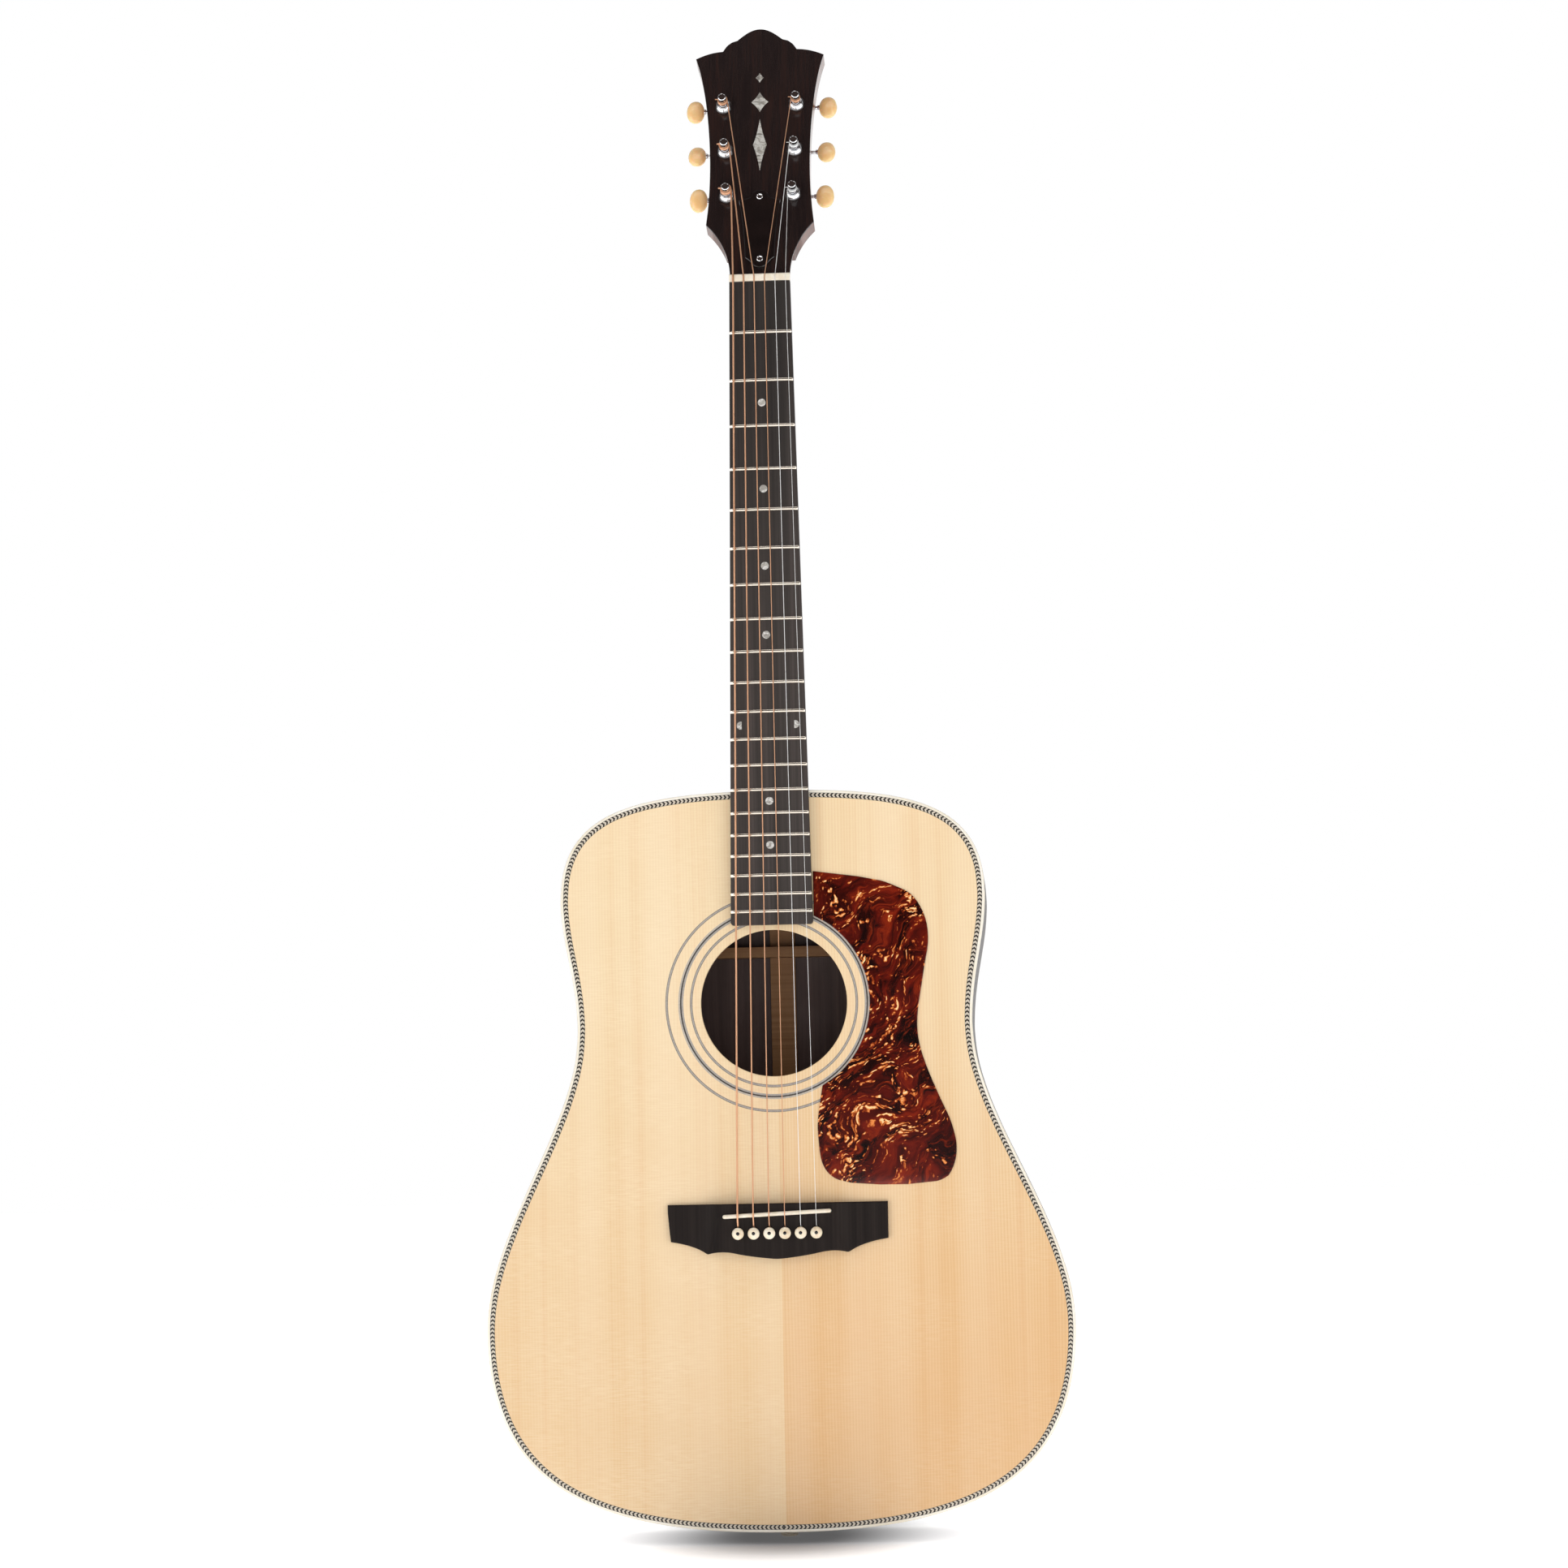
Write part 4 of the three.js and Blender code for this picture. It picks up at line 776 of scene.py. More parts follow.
# The dyed strips of the rosette and the purfling, each in a dark and a pale shade.
VENEER_LINES = {
    "dark_line": ("#2f2c2b", "#4c4846"), "pale_line": ("#b0a59a", "#c8bdb0"),
    "grey_line": ("#9b958f", "#b1aaa3"), "shade_line": ("#776b63", "#93877d"),
}
M = {name: veneer_line(name, *shades) for name, shades in VENEER_LINES.items()}
M |= {
    "spruce": spruce_top(),
    "brace": raw_spruce("brace_spruce", "#ae8259", "#93663f", along=(260.0, 3.0, 2.2)),
    "lining": raw_spruce("lining_wood", "#a9764c", "#6f452a", along=(6.0, 3.0, 6.0)),
    "rosewood": streaked_wood("rosewood", "#150a07", "#33190f", "#5a3020", 0.22),
    "side_rosewood": streaked_wood("side_rosewood", "#150a07", "#33190f", "#5a3020", 0.22,
                                   along=(130.0, 1.6, 130.0), pore=(9.0, 0.5, 9.0)),
    "raw_rosewood": streaked_wood("raw_rosewood", "#40302b", "#574440", "#6d5750", 0.6),
    "mahogany": streaked_wood("mahogany", "#3a1a0e", "#5f301c", "#7c4529", 0.3, along=(1.6, 5.0, 140.0)),
    "fretboard": dark_board("fretboard_wood", "#2a2523", "#3a3431", "#4d4441", 0.48, shine=0.3, fade=0.5),
    "bridge": dark_board("bridge_wood", "#171211", "#221c1a", "#2d2623", 0.5, shine=0.12),
    "headplate": dark_board("headplate_wood", "#171112", "#221918", "#2f1d19", 0.2, coat=0.4),
    "bone": bone(),
    "ivoroid": ivoroid(),
    "herringbone": herringbone(),
    "tortoise": tortoise(),
    "chrome": metal("chrome", "#e9eaec", 0.07),
    "steel": metal("steel", "#c9cacb", 0.25),
    "fret_wire": metal("fret_wire", "#e6ddcf", 0.2, scratch=(2.0, 1.0, 0.5), depth=0.004),
    "gear_brass": metal("gear_brass", "#b9924f", 0.28),
    "wound_wire": wound_wire("wound_bronze", "#f0bb96", "#a86f4c"),
    "plain_wire": metal("plain_wire", "#fdfdfc", 0.3, scratch=(2.0, 2.0, 12.0), pure=0.35),
    "button": cream_button(),
    "pin": pin_plastic(),
    "black": gloss_black("gloss_black", "#080707", "#131011"),
    "cover": gloss_black("cover_plastic", "#120d0d", "#1b1312"),
    "pearl": pearl("pearl", "#5f5c59", "#d9d7d1"),
    "dot_pearl": pearl("dot_pearl", "#c9c8c4", "#f6f5f2"),
}


# ---------------------------------------------------------------- body

def from_lowest(loop):
    start = min(range(len(loop)), key=lambda i: (round(loop[i].y, 3), abs(loop[i].x)))
    return loop[start:] + loop[:start]


OUTLINE = from_lowest(smooth_outline("top_binding", (0, -1, 0), per_span=5, corner=42))


def sloping(node, side):
    """The y of a flat, sloping face of a body node as a function of z, on its front or back side."""
    vertices = [v.co / MM for v in frame["nodes"][node].data.vertices]
    ends = []
    for z in (min(v.z for v in vertices), max(v.z for v in vertices)):
        ends.append((z, side(v.y for v in vertices if abs(v.z - z) < 0.01)))
    (z0, y0), (z1, y1) = ends
    return lambda z: y0 + (y1 - y0) * (z - z0) / (z1 - z0)


BACK_OUTER = sloping("back", max)
BACK_INNER = sloping("back", min)


def lifted(y, by):
    """A depth, or a depth that is a function of z, moved back by some distance."""
    return (lambda z: y(z) + by) if callable(y) else y + by


def oblong(near, far, y_front, y_rear):
    """A band's profile with four corners, between two insets and two depths."""
    return [(near, y_front), (near, y_rear), (far, y_rear), (far, y_front)]


def circle_band(radius, wide, deep, proud=0.0):
    """A ring round the soundhole, sunk into the soundboard's face."""
    profile = oblong(0, wide, TOP_Y - proud, TOP_Y + deep)
    return band(circle(0, HOLE_Z, radius, steps=160), profile)


# The rosette's strips from outside in: outer radius, width and material.
ROSETTE = [
    (75.6, 0.45, "shade_line"), (75.15, 0.9, "grey_line"), (74.25, 0.45, "shade_line"),
    (66.6, 1.2, "pale_line"), (65.4, 1.0, "dark_line"), (64.4, 1.3, "grey_line"),
    (58.5, 0.45, "shade_line"), (58.05, 0.9, "grey_line"), (57.15, 0.45, "shade_line"),
]
ROSETTE_GROUPS = [(75.6, 1.8), (66.6, 3.5), (58.5, 1.8)]
INLAY_DEEP = 1.2


def add_soundboard():
    high = box("soundboard")[1]
    ledge = TOP_Y + PURFLING_DEEP
    step = BINDING_WIDE + PURFLING_WIDE - PLATE_INSET
    plate_edge = inset(OUTLINE, PLATE_INSET)
    hole = circle(0, HOLE_Z, HOLE_RADIUS, steps=160)
    edge = 0.35
    hole_profile = [(0, high.y), (0, ledge), (0, TOP_Y + edge), (edge, TOP_Y)]
    board = slab(plate_edge, [(0, high.y), (0, ledge), (step, ledge), (step, TOP_Y)], [(hole, hole_profile)])
    channels = [circle_band(r, w, INLAY_DEEP, proud=1.0) for r, w in ROSETTE_GROUPS]
    bores = [pin_bore(n, high.y + 1) for n in STRING_RADIUS]
    finished("soundboard_spruce", combine(board, *channels, *bores), M["spruce"], "soundboard")
    for name in VENEER_LINES:
        strips = [circle_band(r, w, INLAY_DEEP) for r, w, kind in ROSETTE if kind == name]
        finished(f"rosette_{name}", merged(*strips), M[name])


def pin_bore(number, to_y):
    """A cutter for one bridge pin's hole and the slot beside it that lets its string through."""
    spot = middle(f"bridge_pin_{number}")
    cone = [(0, to_y), (2.8, to_y), (2.8, BRIDGE_TOP_Y + 0.7), (3.6, BRIDGE_TOP_Y - 0.1),
            (3.6, CLEAR_FRONT), (0, CLEAR_FRONT)]
    round_part = lathe(cone[::-1], at(spot.x, 0, spot.z), steps=32)
    slot_part = block((spot.x - 0.9, CLEAR_FRONT, spot.z), (spot.x + 0.9, to_y, spot.z + 5))
    return combine(round_part, slot_part, operation="UNION")


def add_binding():
    """Strips with a rounded outer edge round the top and the back."""
    e = BACK_EDGE_OUT
    corners = [(0, BINDING_TALL), (0, e), (e * 0.3, e * 0.3), (e, 0), (BINDING_WIDE, 0),
               (BINDING_WIDE, BINDING_TALL)]
    for side, face, sign in (("top", TOP_Y, 1), ("back", BACK_OUTER, -1)):
        profile = [(move, lifted(face, sign * depth)) for move, depth in corners]
        finished(f"{side}_binding_strip", band(OUTLINE, profile), M["ivoroid"], f"{side}_binding")


def add_purfling():
    profile = oblong(BINDING_WIDE, BINDING_WIDE + PURFLING_WIDE, TOP_Y, TOP_Y + PURFLING_DEEP)
    finished("herringbone_purfling", band(OUTLINE, profile), M["herringbone"])


SIDE_THICK = 2.2
SIDE_LINE = 0.6                 # the dark line between a side and its binding


def add_sides():
    half = len(OUTLINE) // 2
    runs = {"side_treble": OUTLINE[:half + 1], "side_bass": OUTLINE[half:] + OUTLINE[:1]}
    front, rear = TOP_Y + BINDING_TALL, lifted(BACK_OUTER, -BINDING_TALL)
    for name, run in runs.items():
        panel = open_band(run, oblong(0, SIDE_THICK, front, rear))
        finished(f"{name}_panel", panel, M["side_rosewood"], name)
    for tag, y in (("front", front), ("back", lifted(rear, -SIDE_LINE))):
        ring = band(OUTLINE, oblong(-0.01, SIDE_LINE, y, lifted(y, SIDE_LINE)))
        finished(f"side_purfling_{tag}", ring, M["dark_line"])


def open_band(run, profile):
    """A strip along part of an outline, closed over both ends."""
    rings = []
    for i, p in enumerate(run):
        before, after = run[max(i - 1, 0)], run[min(i + 1, len(run) - 1)]
        way = (after - before).normalized()
        square = Vector((-way.y, way.x))
        rings.append([raised(p + square * move, y) for move, y in profile])
    return lofted(rings)


# The back strip's pieces from bass to treble: their edges and material.
BACK_STRIP = [
    (-3.2, -2.4, "dark_line"), (-2.4, -1.7, "pale_line"), (-1.7, 1.7, "mahogany"), (1.7, 2.4, "pale_line"),
    (2.4, 3.2, "dark_line"),
]
BACK_STRIP_DEEP = 1.0


def add_back():
    edge = inset(OUTLINE, BINDING_WIDE)
    rear = slab(edge, [(0, BACK_OUTER), (0, BACK_INNER)])
    strip_half = BACK_STRIP[-1][1]
    low_z, high_z = body_low.z + 3, BODY_TOP - 3
    channel = block((-strip_half, 0, low_z - 5), (strip_half, 90, high_z + 5))
    for v in channel.verts:
        if v.co.y < 10:
            v.co.y = BACK_OUTER(v.co.z) - BACK_STRIP_DEEP
    plate = combine(rear, channel)
    for face in plate.faces:
        spot = face.calc_center_median()
        face.material_index = int(spot.y < BACK_INNER(spot.z) + 0.5)
    finished("back_plate", plate, [M["rosewood"], M["raw_rosewood"]], "back")
    for x_low, x_high, kind in BACK_STRIP:
        strip = block((x_low, 0, low_z), (x_high, 1, high_z))
        for v in strip.verts:
            v.co.y = BACK_OUTER(v.co.z) - (BACK_STRIP_DEEP if v.co.y < 0.5 else 0)
        tag = "bass" if x_high <= 0 else "treble" if x_low >= 0 else "middle"
        finished(f"back_strip_{kind}_{tag}", strip, M[kind])


def add_end_pin():
    high = box("end_pin")[1]
    profile = [(0, 0), (3.9, 0), (4.7, 0.15), (5.7, 0.7), (6.25, 1.6), (6.35, 2.4), (6.2, 3.2), (5.6, 4.0),
               (4.9, 4.5), (4.6, 5.2), (4.6, high.z - 22.3), (3.9, high.z - 22.3), (3.3, high.z), (0, high.z)]
    pin = lathe(profile, Matrix.Rotation(math.pi / 2, 4, "X"), steps=56)
    finished("end_pin_turned", pin, M["pin"], "end_pin")


def add_pickguard():
    low, high = box("pickguard")
    loop = smooth_outline("pickguard", (0, -1, 0), per_span=3, corner=30)
    profile = [(0, high.y), (0, low.y + 0.5), (0.25, low.y + 0.12), (0.55, low.y)]
    finished("pickguard_sheet", slab(loop, profile), M["tortoise"], "pickguard")


# ---------------------------------------------------------------- neck and headstock

HEEL_BACK_Y = box("neck")[1].y
HEEL_THICK = 12.0
HEEL_SWEEP = 60.0
HEEL_CAP_THICK = 1.6
NECK_DEPTH_NUT = 14.6
NECK_DEPTH_HEEL = 16.9
HEAD_FOOT_HALF = 21.3
LOFT_END_V = 21.0
SLAB_START_V = 18.0
SECTION_STEPS = 20
POST_BORE = 4.45


def board_half(z):
    return BOARD_HALF_NUT + (BOARD_HALF_END - BOARD_HALF_NUT) * (NUT_Z - z) / (NUT_Z - BOARD_LOW.z)


def head_plane_y(z, depth):
    return HEAD_FACE_Y + (z - HEAD_START_Z) * math.tan(HEAD_TILT) + depth / math.cos(HEAD_TILT)


def head_z(v):
    return HEAD_START_Z + v * math.cos(HEAD_TILT)


def heel_share(z):
    """How much of the heel's full depth stands at height z: 1 at the body, 0 along the neck."""
    u = min(max((z - BODY_TOP - HEEL_THICK) / HEEL_SWEEP, 0), 1)
    return 1 - math.sqrt(1 - (1 - u) ** 2)


def eased(value, low, high):
    t = min(max((value - low) / (high - low), 0), 1)
    return t * t * (3 - 2 * t)


def neck_section(z):
    """One cross-section of the neck: flat on top, round below, and squarer towards the headstock."""
    v = (z - HEAD_START_Z) / math.cos(HEAD_TILT)
    half = board_half(min(z, NUT_Z)) if v < 0 else HEAD_FOOT_HALF + 2.6 * (v / 20) ** 2
    top = max(TOP_Y, head_plane_y(z, VENEER_THICK + 0.3))
    slope = (NUT_Z - z) / (NUT_Z - BODY_TOP)
    shaft = TOP_Y + NECK_DEPTH_NUT + (NECK_DEPTH_HEEL - NECK_DEPTH_NUT) * slope
    heel = heel_share(z)
    bottom = head_plane_y(z, HEAD_THICK) if v > 0 else shaft + (HEEL_BACK_Y - shaft) * heel
    square = eased(z, NUT_Z - 12, head_z(LOFT_END_V))
    flat = 2 + 8 * heel + (half - 3) * 0.8 * square
    power_x = (0.85 + 1.5 * heel) * (1 - 0.75 * square)
    power_y = (0.95 + 0.75 * heel) * (1 - 0.6 * square)
    right = []
    for k in range(SECTION_STEPS + 1):
        angle = k / SECTION_STEPS * math.pi / 2
        share = math.cos(angle) ** power_x if k < SECTION_STEPS else 0
        right.append((flat + (half - flat) * share, top + (bottom - top) * math.sin(angle) ** power_y))
    left = [(-x, y) for x, y in reversed(right)]
    return [Vector((x, y, z)) for x, y in right + left]


def neck_heights():
    heel = [BODY_TOP + 0.05 + HEEL_THICK * k / 6 for k in range(7)]
    sweep = [BODY_TOP + HEEL_THICK + HEEL_SWEEP * (k / 26) ** 2.4 for k in range(1, 27)]
    shaft = np.linspace(sweep[-1] + 8, NUT_Z - 14, 18).tolist()
    meet = HEAD_START_Z - (head_plane_y(HEAD_START_Z, VENEER_THICK + 0.3) - TOP_Y) / math.tan(HEAD_TILT)
    throat = np.linspace(NUT_Z - 10, meet, 8).tolist()
    head = np.linspace(head_z(1), head_z(LOFT_END_V), 12).tolist()
    return heel + sweep + shaft + throat + head


def head_outline():
    """The headstock's outline in its own plane, at the CAD's points joined smoothly."""
    return smooth_outline("headstock_veneer", HEAD_NORMAL, per_span=5, corner=22, to_plane=TO_HEAD)


def on_head(spot):
    """The frame of a spot on the headstock's face."""
    return HEAD @ at(spot.x, 0, spot.z)


def add_neck():
    shaft = lofted([neck_section(z) for z in neck_heights()])
    outline = [p for p in head_outline() if p.y > SLAB_START_V]
    start = max(range(len(outline)), key=lambda i: (outline[i] - outline[i - 1]).length)
    outline = outline[start:] + outline[:start]
    e = 0.9
    slab_profile = [(e, HEAD_THICK), (e * 0.3, HEAD_THICK - e * 0.3), (0, HEAD_THICK - e),
                    (0, VENEER_THICK + 0.02)]
    head = slab(outline, slab_profile, place=HEAD)
    whole = combine(shaft, head, operation="UNION")
    bore = [(0, -6), (POST_BORE, -6), (POST_BORE, 26), (0, 26)]
    bored = combine(whole, *(lathe(bore, on_head(spot), steps=32) for spot in POSTS.values()))
    heel_cut = (-40, HEEL_BACK_Y - HEEL_CAP_THICK, BODY_TOP - 5), (40, HEEL_BACK_Y + 5, BODY_TOP + 60)
    neck = combine(bored.copy(), block(*heel_cut))
    finished("neck_carved", neck, M["mahogany"], "neck", sharp=32)
    heel_cap = combine(bored, block(*heel_cut), operation="INTERSECT")
    finished("heel_cap", heel_cap, M["ivoroid"])


def add_veneer():
    e = 0.3
    loop = head_outline()
    bore = [(0, VENEER_THICK), (0, 0), (0, 0)]
    holes = [(circle(p.x, p.z, POST_BORE, steps=32), bore) for p in POSTS.values()]
    profile = [(0, VENEER_THICK), (0, e), (e, 0)]
    face = slab(loop, profile, holes, place=HEAD)
    finished("headstock_face", face, M["headplate"], "headstock_veneer")


# The pearl inlays: height up the headstock, half width and half height.
LOZENGES = [(105, 5.0, 21), (140, 6.2, 8.2), (160, 3.0, 4.0)]


def lozenge(v, half_wide, half_tall):
    """An inlay in the headstock's face with four corners, its sides drawn in a little."""
    corners = [(half_wide, 0), (0, half_tall), (-half_wide, 0), (0, -half_tall)]
    loop = []
    for i, (x, z) in enumerate(corners):
        x2, z2 = corners[(i + 1) % 4]
        for k in range(8):
            t = k / 8
            pull = 1 - 0.48 * t * (1 - t)
            loop.append(Vector(((x + (x2 - x) * t) * pull, v + (z + (z2 - z) * t) * pull)))
    return slab(anticlockwise(loop), [(0, 0.6), (0, -0.03)], place=HEAD)


def add_headstock_inlay():
    finished("headstock_inlay", merged(*(lozenge(*size) for size in LOZENGES)), M["pearl"])


def screw(place, radius, slot_angle):
    """A domed screw head with one slot."""
    profile = [(0, 0.8), (radius, 0.8), (radius, -0.15), (radius * 0.93, -0.4), (radius * 0.7, -0.62),
               (radius * 0.35, -0.78), (0, -0.82)]
    groove = block((-radius * 1.2, -2, -radius * 0.16), (radius * 1.2, -0.25, radius * 0.16))
    groove.transform(place @ Matrix.Rotation(slot_angle, 4, "Y"))
    return combine(lathe(profile, place, steps=32), groove)


COVER_SCREWS = (62.3, 12.5)
COVER_FRONT = -1.8              # the cover's face, in front of the headstock's


def add_truss_cover():
    loop = smooth_outline("truss_rod_cover", HEAD_NORMAL, per_span=4, corner=36, to_plane=TO_HEAD)
    profile = [(0, -0.02), (0, COVER_FRONT + 0.45), (0.45, COVER_FRONT)]
    hole = [(0, -0.02), (0, COVER_FRONT + 0.4), (0.4, COVER_FRONT)]
    holes = [(circle(0, v, 1.6, steps=24), hole) for v in COVER_SCREWS]
    plate = slab(loop, profile, holes, place=HEAD)
    finished("truss_cover_plate", plate, M["cover"], "truss_rod_cover")
    screws = [screw(HEAD @ at(0, COVER_FRONT, v), 2.4, turn) for v, turn in zip(COVER_SCREWS, (0.9, 1.1))]
    finished("truss_cover_screws", merged(*screws), M["chrome"])


# ---------------------------------------------------------------- fretboard, frets, nut

def fret_z(n):
    return NUT_Z - SCALE_LENGTH * (1 - 2 ** (-n / 12))


def board_y(x):
    return BOARD_LOW.y + x * x / (2 * BOARD_RADIUS)


def add_fretboard():
    corner = 2.2
    ends = [BOARD_LOW.z + corner * (1 - math.cos(math.radians(a))) for a in range(0, 91, 10)]
    heights = ends + np.linspace(BOARD_LOW.z + 2 * corner, NUT_Z, 60).tolist()
    rings = []
    for z in heights:
        from_end = min((z - BOARD_LOW.z) / corner, 1)
        half = board_half(z) - corner * (1 - math.sqrt(1 - (1 - from_end) ** 2))
        edge = 0.35
        top = [(half * s, board_y(half * s)) for s in np.linspace(-1, 1, 17)]
        top[0] = (top[0][0], top[0][1] + edge)
        top[-1] = (top[-1][0], top[-1][1] + edge)
        top.insert(1, (-half + edge, board_y(half)))
        top.insert(-1, (half - edge, board_y(half)))
        top = sorted(top)
        base = [(half, BOARD_HIGH.y), (-half, BOARD_HIGH.y)]
        rings.append([Vector((x, y, z)) for x, y in top + base])
    finished("fretboard_blank", lofted(rings), M["fretboard"], "fretboard")


def add_dots():
    """Round marks on the board, and small ones on its bass side."""
    marks = []
    side_marks = []
    for fret, across in DOTTED_FRETS.items():
        between = (fret_z(fret) + fret_z(fret - 1)) / 2
        for x in across:
            top = board_y(x) - 0.03
            dot = [(0, top + 0.5), (DOT_RADIUS, top + 0.5), (DOT_RADIUS, top), (0, top)]
            marks.append(lathe(dot, at(x, 0, between), steps=40))
        for z in ((between,) if len(across) == 1 else (between - 4, between + 4)):
            place = at(-board_half(z), BOARD_LOW.y + 3.6, z) @ TO_LEFT
            side_marks.append(lathe([(0, -0.5), (1.0, -0.5), (1.0, 0.03), (0, 0.03)], place, steps=20))
    finished("position_dots", merged(*marks), M["dot_pearl"])
    finished("side_dots", merged(*side_marks), M["bone"])


def add_frets():
    """Crowned wires that follow the board's arc, their ends filed back, over tangs that show at the sides."""
    rise = BOARD_LOW.y - FRET_TOP_Y
    parts = []
    for n in range(1, FRET_COUNT + 1):
        z = fret_z(n)
        half = board_half(z) - 0.15
        rings = []
        for s in np.linspace(-1, 1, 25):
            shrink = 1 - 0.9 * max(0, (abs(s) * half - (half - 0.7)) / 0.7)
            x = s * half
            arc = [
                Vector((x, board_y(x) - rise * math.sin(a) * shrink, z + FRET_HALF_WIDE * math.cos(a)))
                for a in np.linspace(0, math.pi, 9)
            ]
            foot = [Vector((x, board_y(x) + 0.1, z + side * FRET_HALF_WIDE)) for side in (-1, 1)]
            rings.append(arc + foot)
        side = board_half(z) + 0.02
        seat = board_y(side)
        parts += [lofted(rings), block((-side, seat + 0.05, z - 0.3), (side, seat + 2.2, z + 0.3))]
    finished("fret_wires", merged(*parts), M["fret_wire"], "frets", sharp=45)


NUT_SPACING = 7.4
NUT_PROUD = 0.45                # how far the nut stands in front of its CAD top between the strings


def nut_x(number):
    return (3.5 - number) * NUT_SPACING


def add_nut():
    """The nut's top slopes back, with a groove under each string."""
    half = nut_high.x
    groove_half = {n: r + 0.12 for n, r in STRING_RADIUS.items()}
    grooves = [nut_x(n) + off * wide for n, wide in groove_half.items()
               for off in (-1.02, -1, -0.7, 0, 0.7, 1, 1.02)]
    rings = []
    for x in sorted(set(np.linspace(-half, half, 60).tolist() + grooves)):
        top = nut_low.y - NUT_PROUD
        for n, r in STRING_RADIUS.items():
            off = abs(x - nut_x(n)) / groove_half[n]
            if off <= 1:
                step = 0 if off < 0.9 else 0.1
                top = nut_low.y + 0.02 - step - (1 - math.sqrt(1 - off * off)) * r * 0.5
        ease = max(0, abs(x) - (half - 0.6)) / 0.6
        top += 0.35 * ease * ease
        behind = max(top, nut_low.y)
        profile = [
            (nut_high.y, nut_low.z), (top + 0.25, nut_low.z), (top, nut_low.z + 0.25),
            (max(top, nut_low.y + 0.02), nut_high.z - 1.6), (behind + 0.5, nut_high.z - 0.5),
            (behind + 1.3, nut_high.z), (nut_high.y, nut_high.z),
        ]
        rings.append([Vector((x, y, z)) for y, z in profile])
    finished("nut_slotted", lofted(rings), M["bone"], "nut", sharp=30)


# ---------------------------------------------------------------- bridge

bridge_low, bridge_high = box("bridge")
BRIDGE_TOP_Y = bridge_low.y
BRIDGE_HALF = bridge_high.x
CENTRE_HALF = 41.0
WING_EDGE_Y = -63.2
WING_SPREAD = 6.0               # how far the wings' start moves out towards the bridge's low edge
BRIDGE_EDGE = 0.9               # the rounding of the bridge's edges
saddle_low, saddle_high = box("saddle")
SADDLE_THICK = 2.8
SADDLE_HALF = 37.5
SADDLE_Z = (saddle_low.z + saddle_high.z) / 2
SADDLE_DROP = (saddle_high.z - saddle_low.z - SADDLE_THICK) / 2     # its bass end's, below its middle


def wing_y(x, z):
    """The bridge's top: flat over its centre, then hollowed down to thin wings."""
    down = (bridge_high.z - z) / (bridge_high.z - bridge_low.z)
    start = CENTRE_HALF + WING_SPREAD * down**2.2
    reach = abs(x) - start
    if reach <= 0:
        return BRIDGE_TOP_Y
    share = min(reach / (BRIDGE_HALF - start), 1)
    return WING_EDGE_Y + (BRIDGE_TOP_Y - WING_EDGE_Y) * (1 - share) ** 4.2


def fillet(distance, radius):
    """How far a rounded edge falls below the face, at a distance from the border."""
    if distance >= radius:
        return 0.0
    return radius - math.sqrt(max(radius**2 - (radius - distance) ** 2, 0))


def add_bridge():
    loop = smooth_outline("bridge", (0, 1, 0), per_span=5, corner=32)
    lower = sorted((p.x, p.y) for p in loop if p.y < bridge_high.z - 1)
    xs, zs = np.array(lower).T
    e = BRIDGE_EDGE
    near = [0, 0.1, 0.25, 0.5, 0.8]

    def spread(low, high, count):
        """Stations from low to high, closer together where the edges are rounded."""
        ends = [low + e * t for t in near], [high - e * t for t in reversed(near)]
        return ends[0] + np.linspace(low + e, high - e, count).tolist() + ends[1]

    rings = []
    for x in spread(-BRIDGE_HALF, BRIDGE_HALF, 151):
        floor = float(np.interp(x, xs, zs))
        tall = bridge_high.z - floor
        top = []
        for d in spread(0, tall, 22):
            z = floor + d
            fall = max(fillet(min(d, tall - d), e), fillet(BRIDGE_HALF - abs(x), e))
            top.append(Vector((x, wing_y(x, z) + fall, z)))
        rings.append([Vector((x, bridge_high.y, floor)), *top, Vector((x, bridge_high.y, bridge_high.z))])
    slot = stadium_slab(SADDLE_HALF + 0.08, SADDLE_THICK / 2 + 0.05, [(0, saddle_high.y), (0, CLEAR_FRONT)])
    bores = [pin_bore(n, bridge_high.y + 2) for n in STRING_RADIUS]
    finished("bridge_carved", combine(lofted(rings), slot, *bores), M["bridge"], "bridge",
             sharp=30)


def saddle_place():
    """The saddle's own frame: its middle, turned so that its bass end lies further down."""
    return at(0, 0, SADDLE_Z) @ Matrix.Rotation(-math.asin(SADDLE_DROP / SADDLE_HALF), 4, "Y")


def stadium_slab(half_long, half_thick, profile):
    """A slab with round ends, lying where the saddle does."""
    right = [Vector((half_long - half_thick + half_thick * math.cos(a), half_thick * math.sin(a)))
             for a in np.linspace(-math.pi / 2, math.pi / 2, 17)]
    left = [-p for p in right]
    return slab(anticlockwise(right + left), profile, place=saddle_place())


def add_saddle():
    half = SADDLE_THICK / 2
    profile = [(0, saddle_high.y), (0, saddle_low.y + half)]
    for move in (0.06, 0.2, 0.42, 0.7, 1.0, 1.3):
        profile.append((move, saddle_low.y + fillet(move, half)))
    finished("saddle_crowned", stadium_slab(SADDLE_HALF, half, profile), M["bone"], "saddle")


PIN_DOT_RADIUS = 1.15


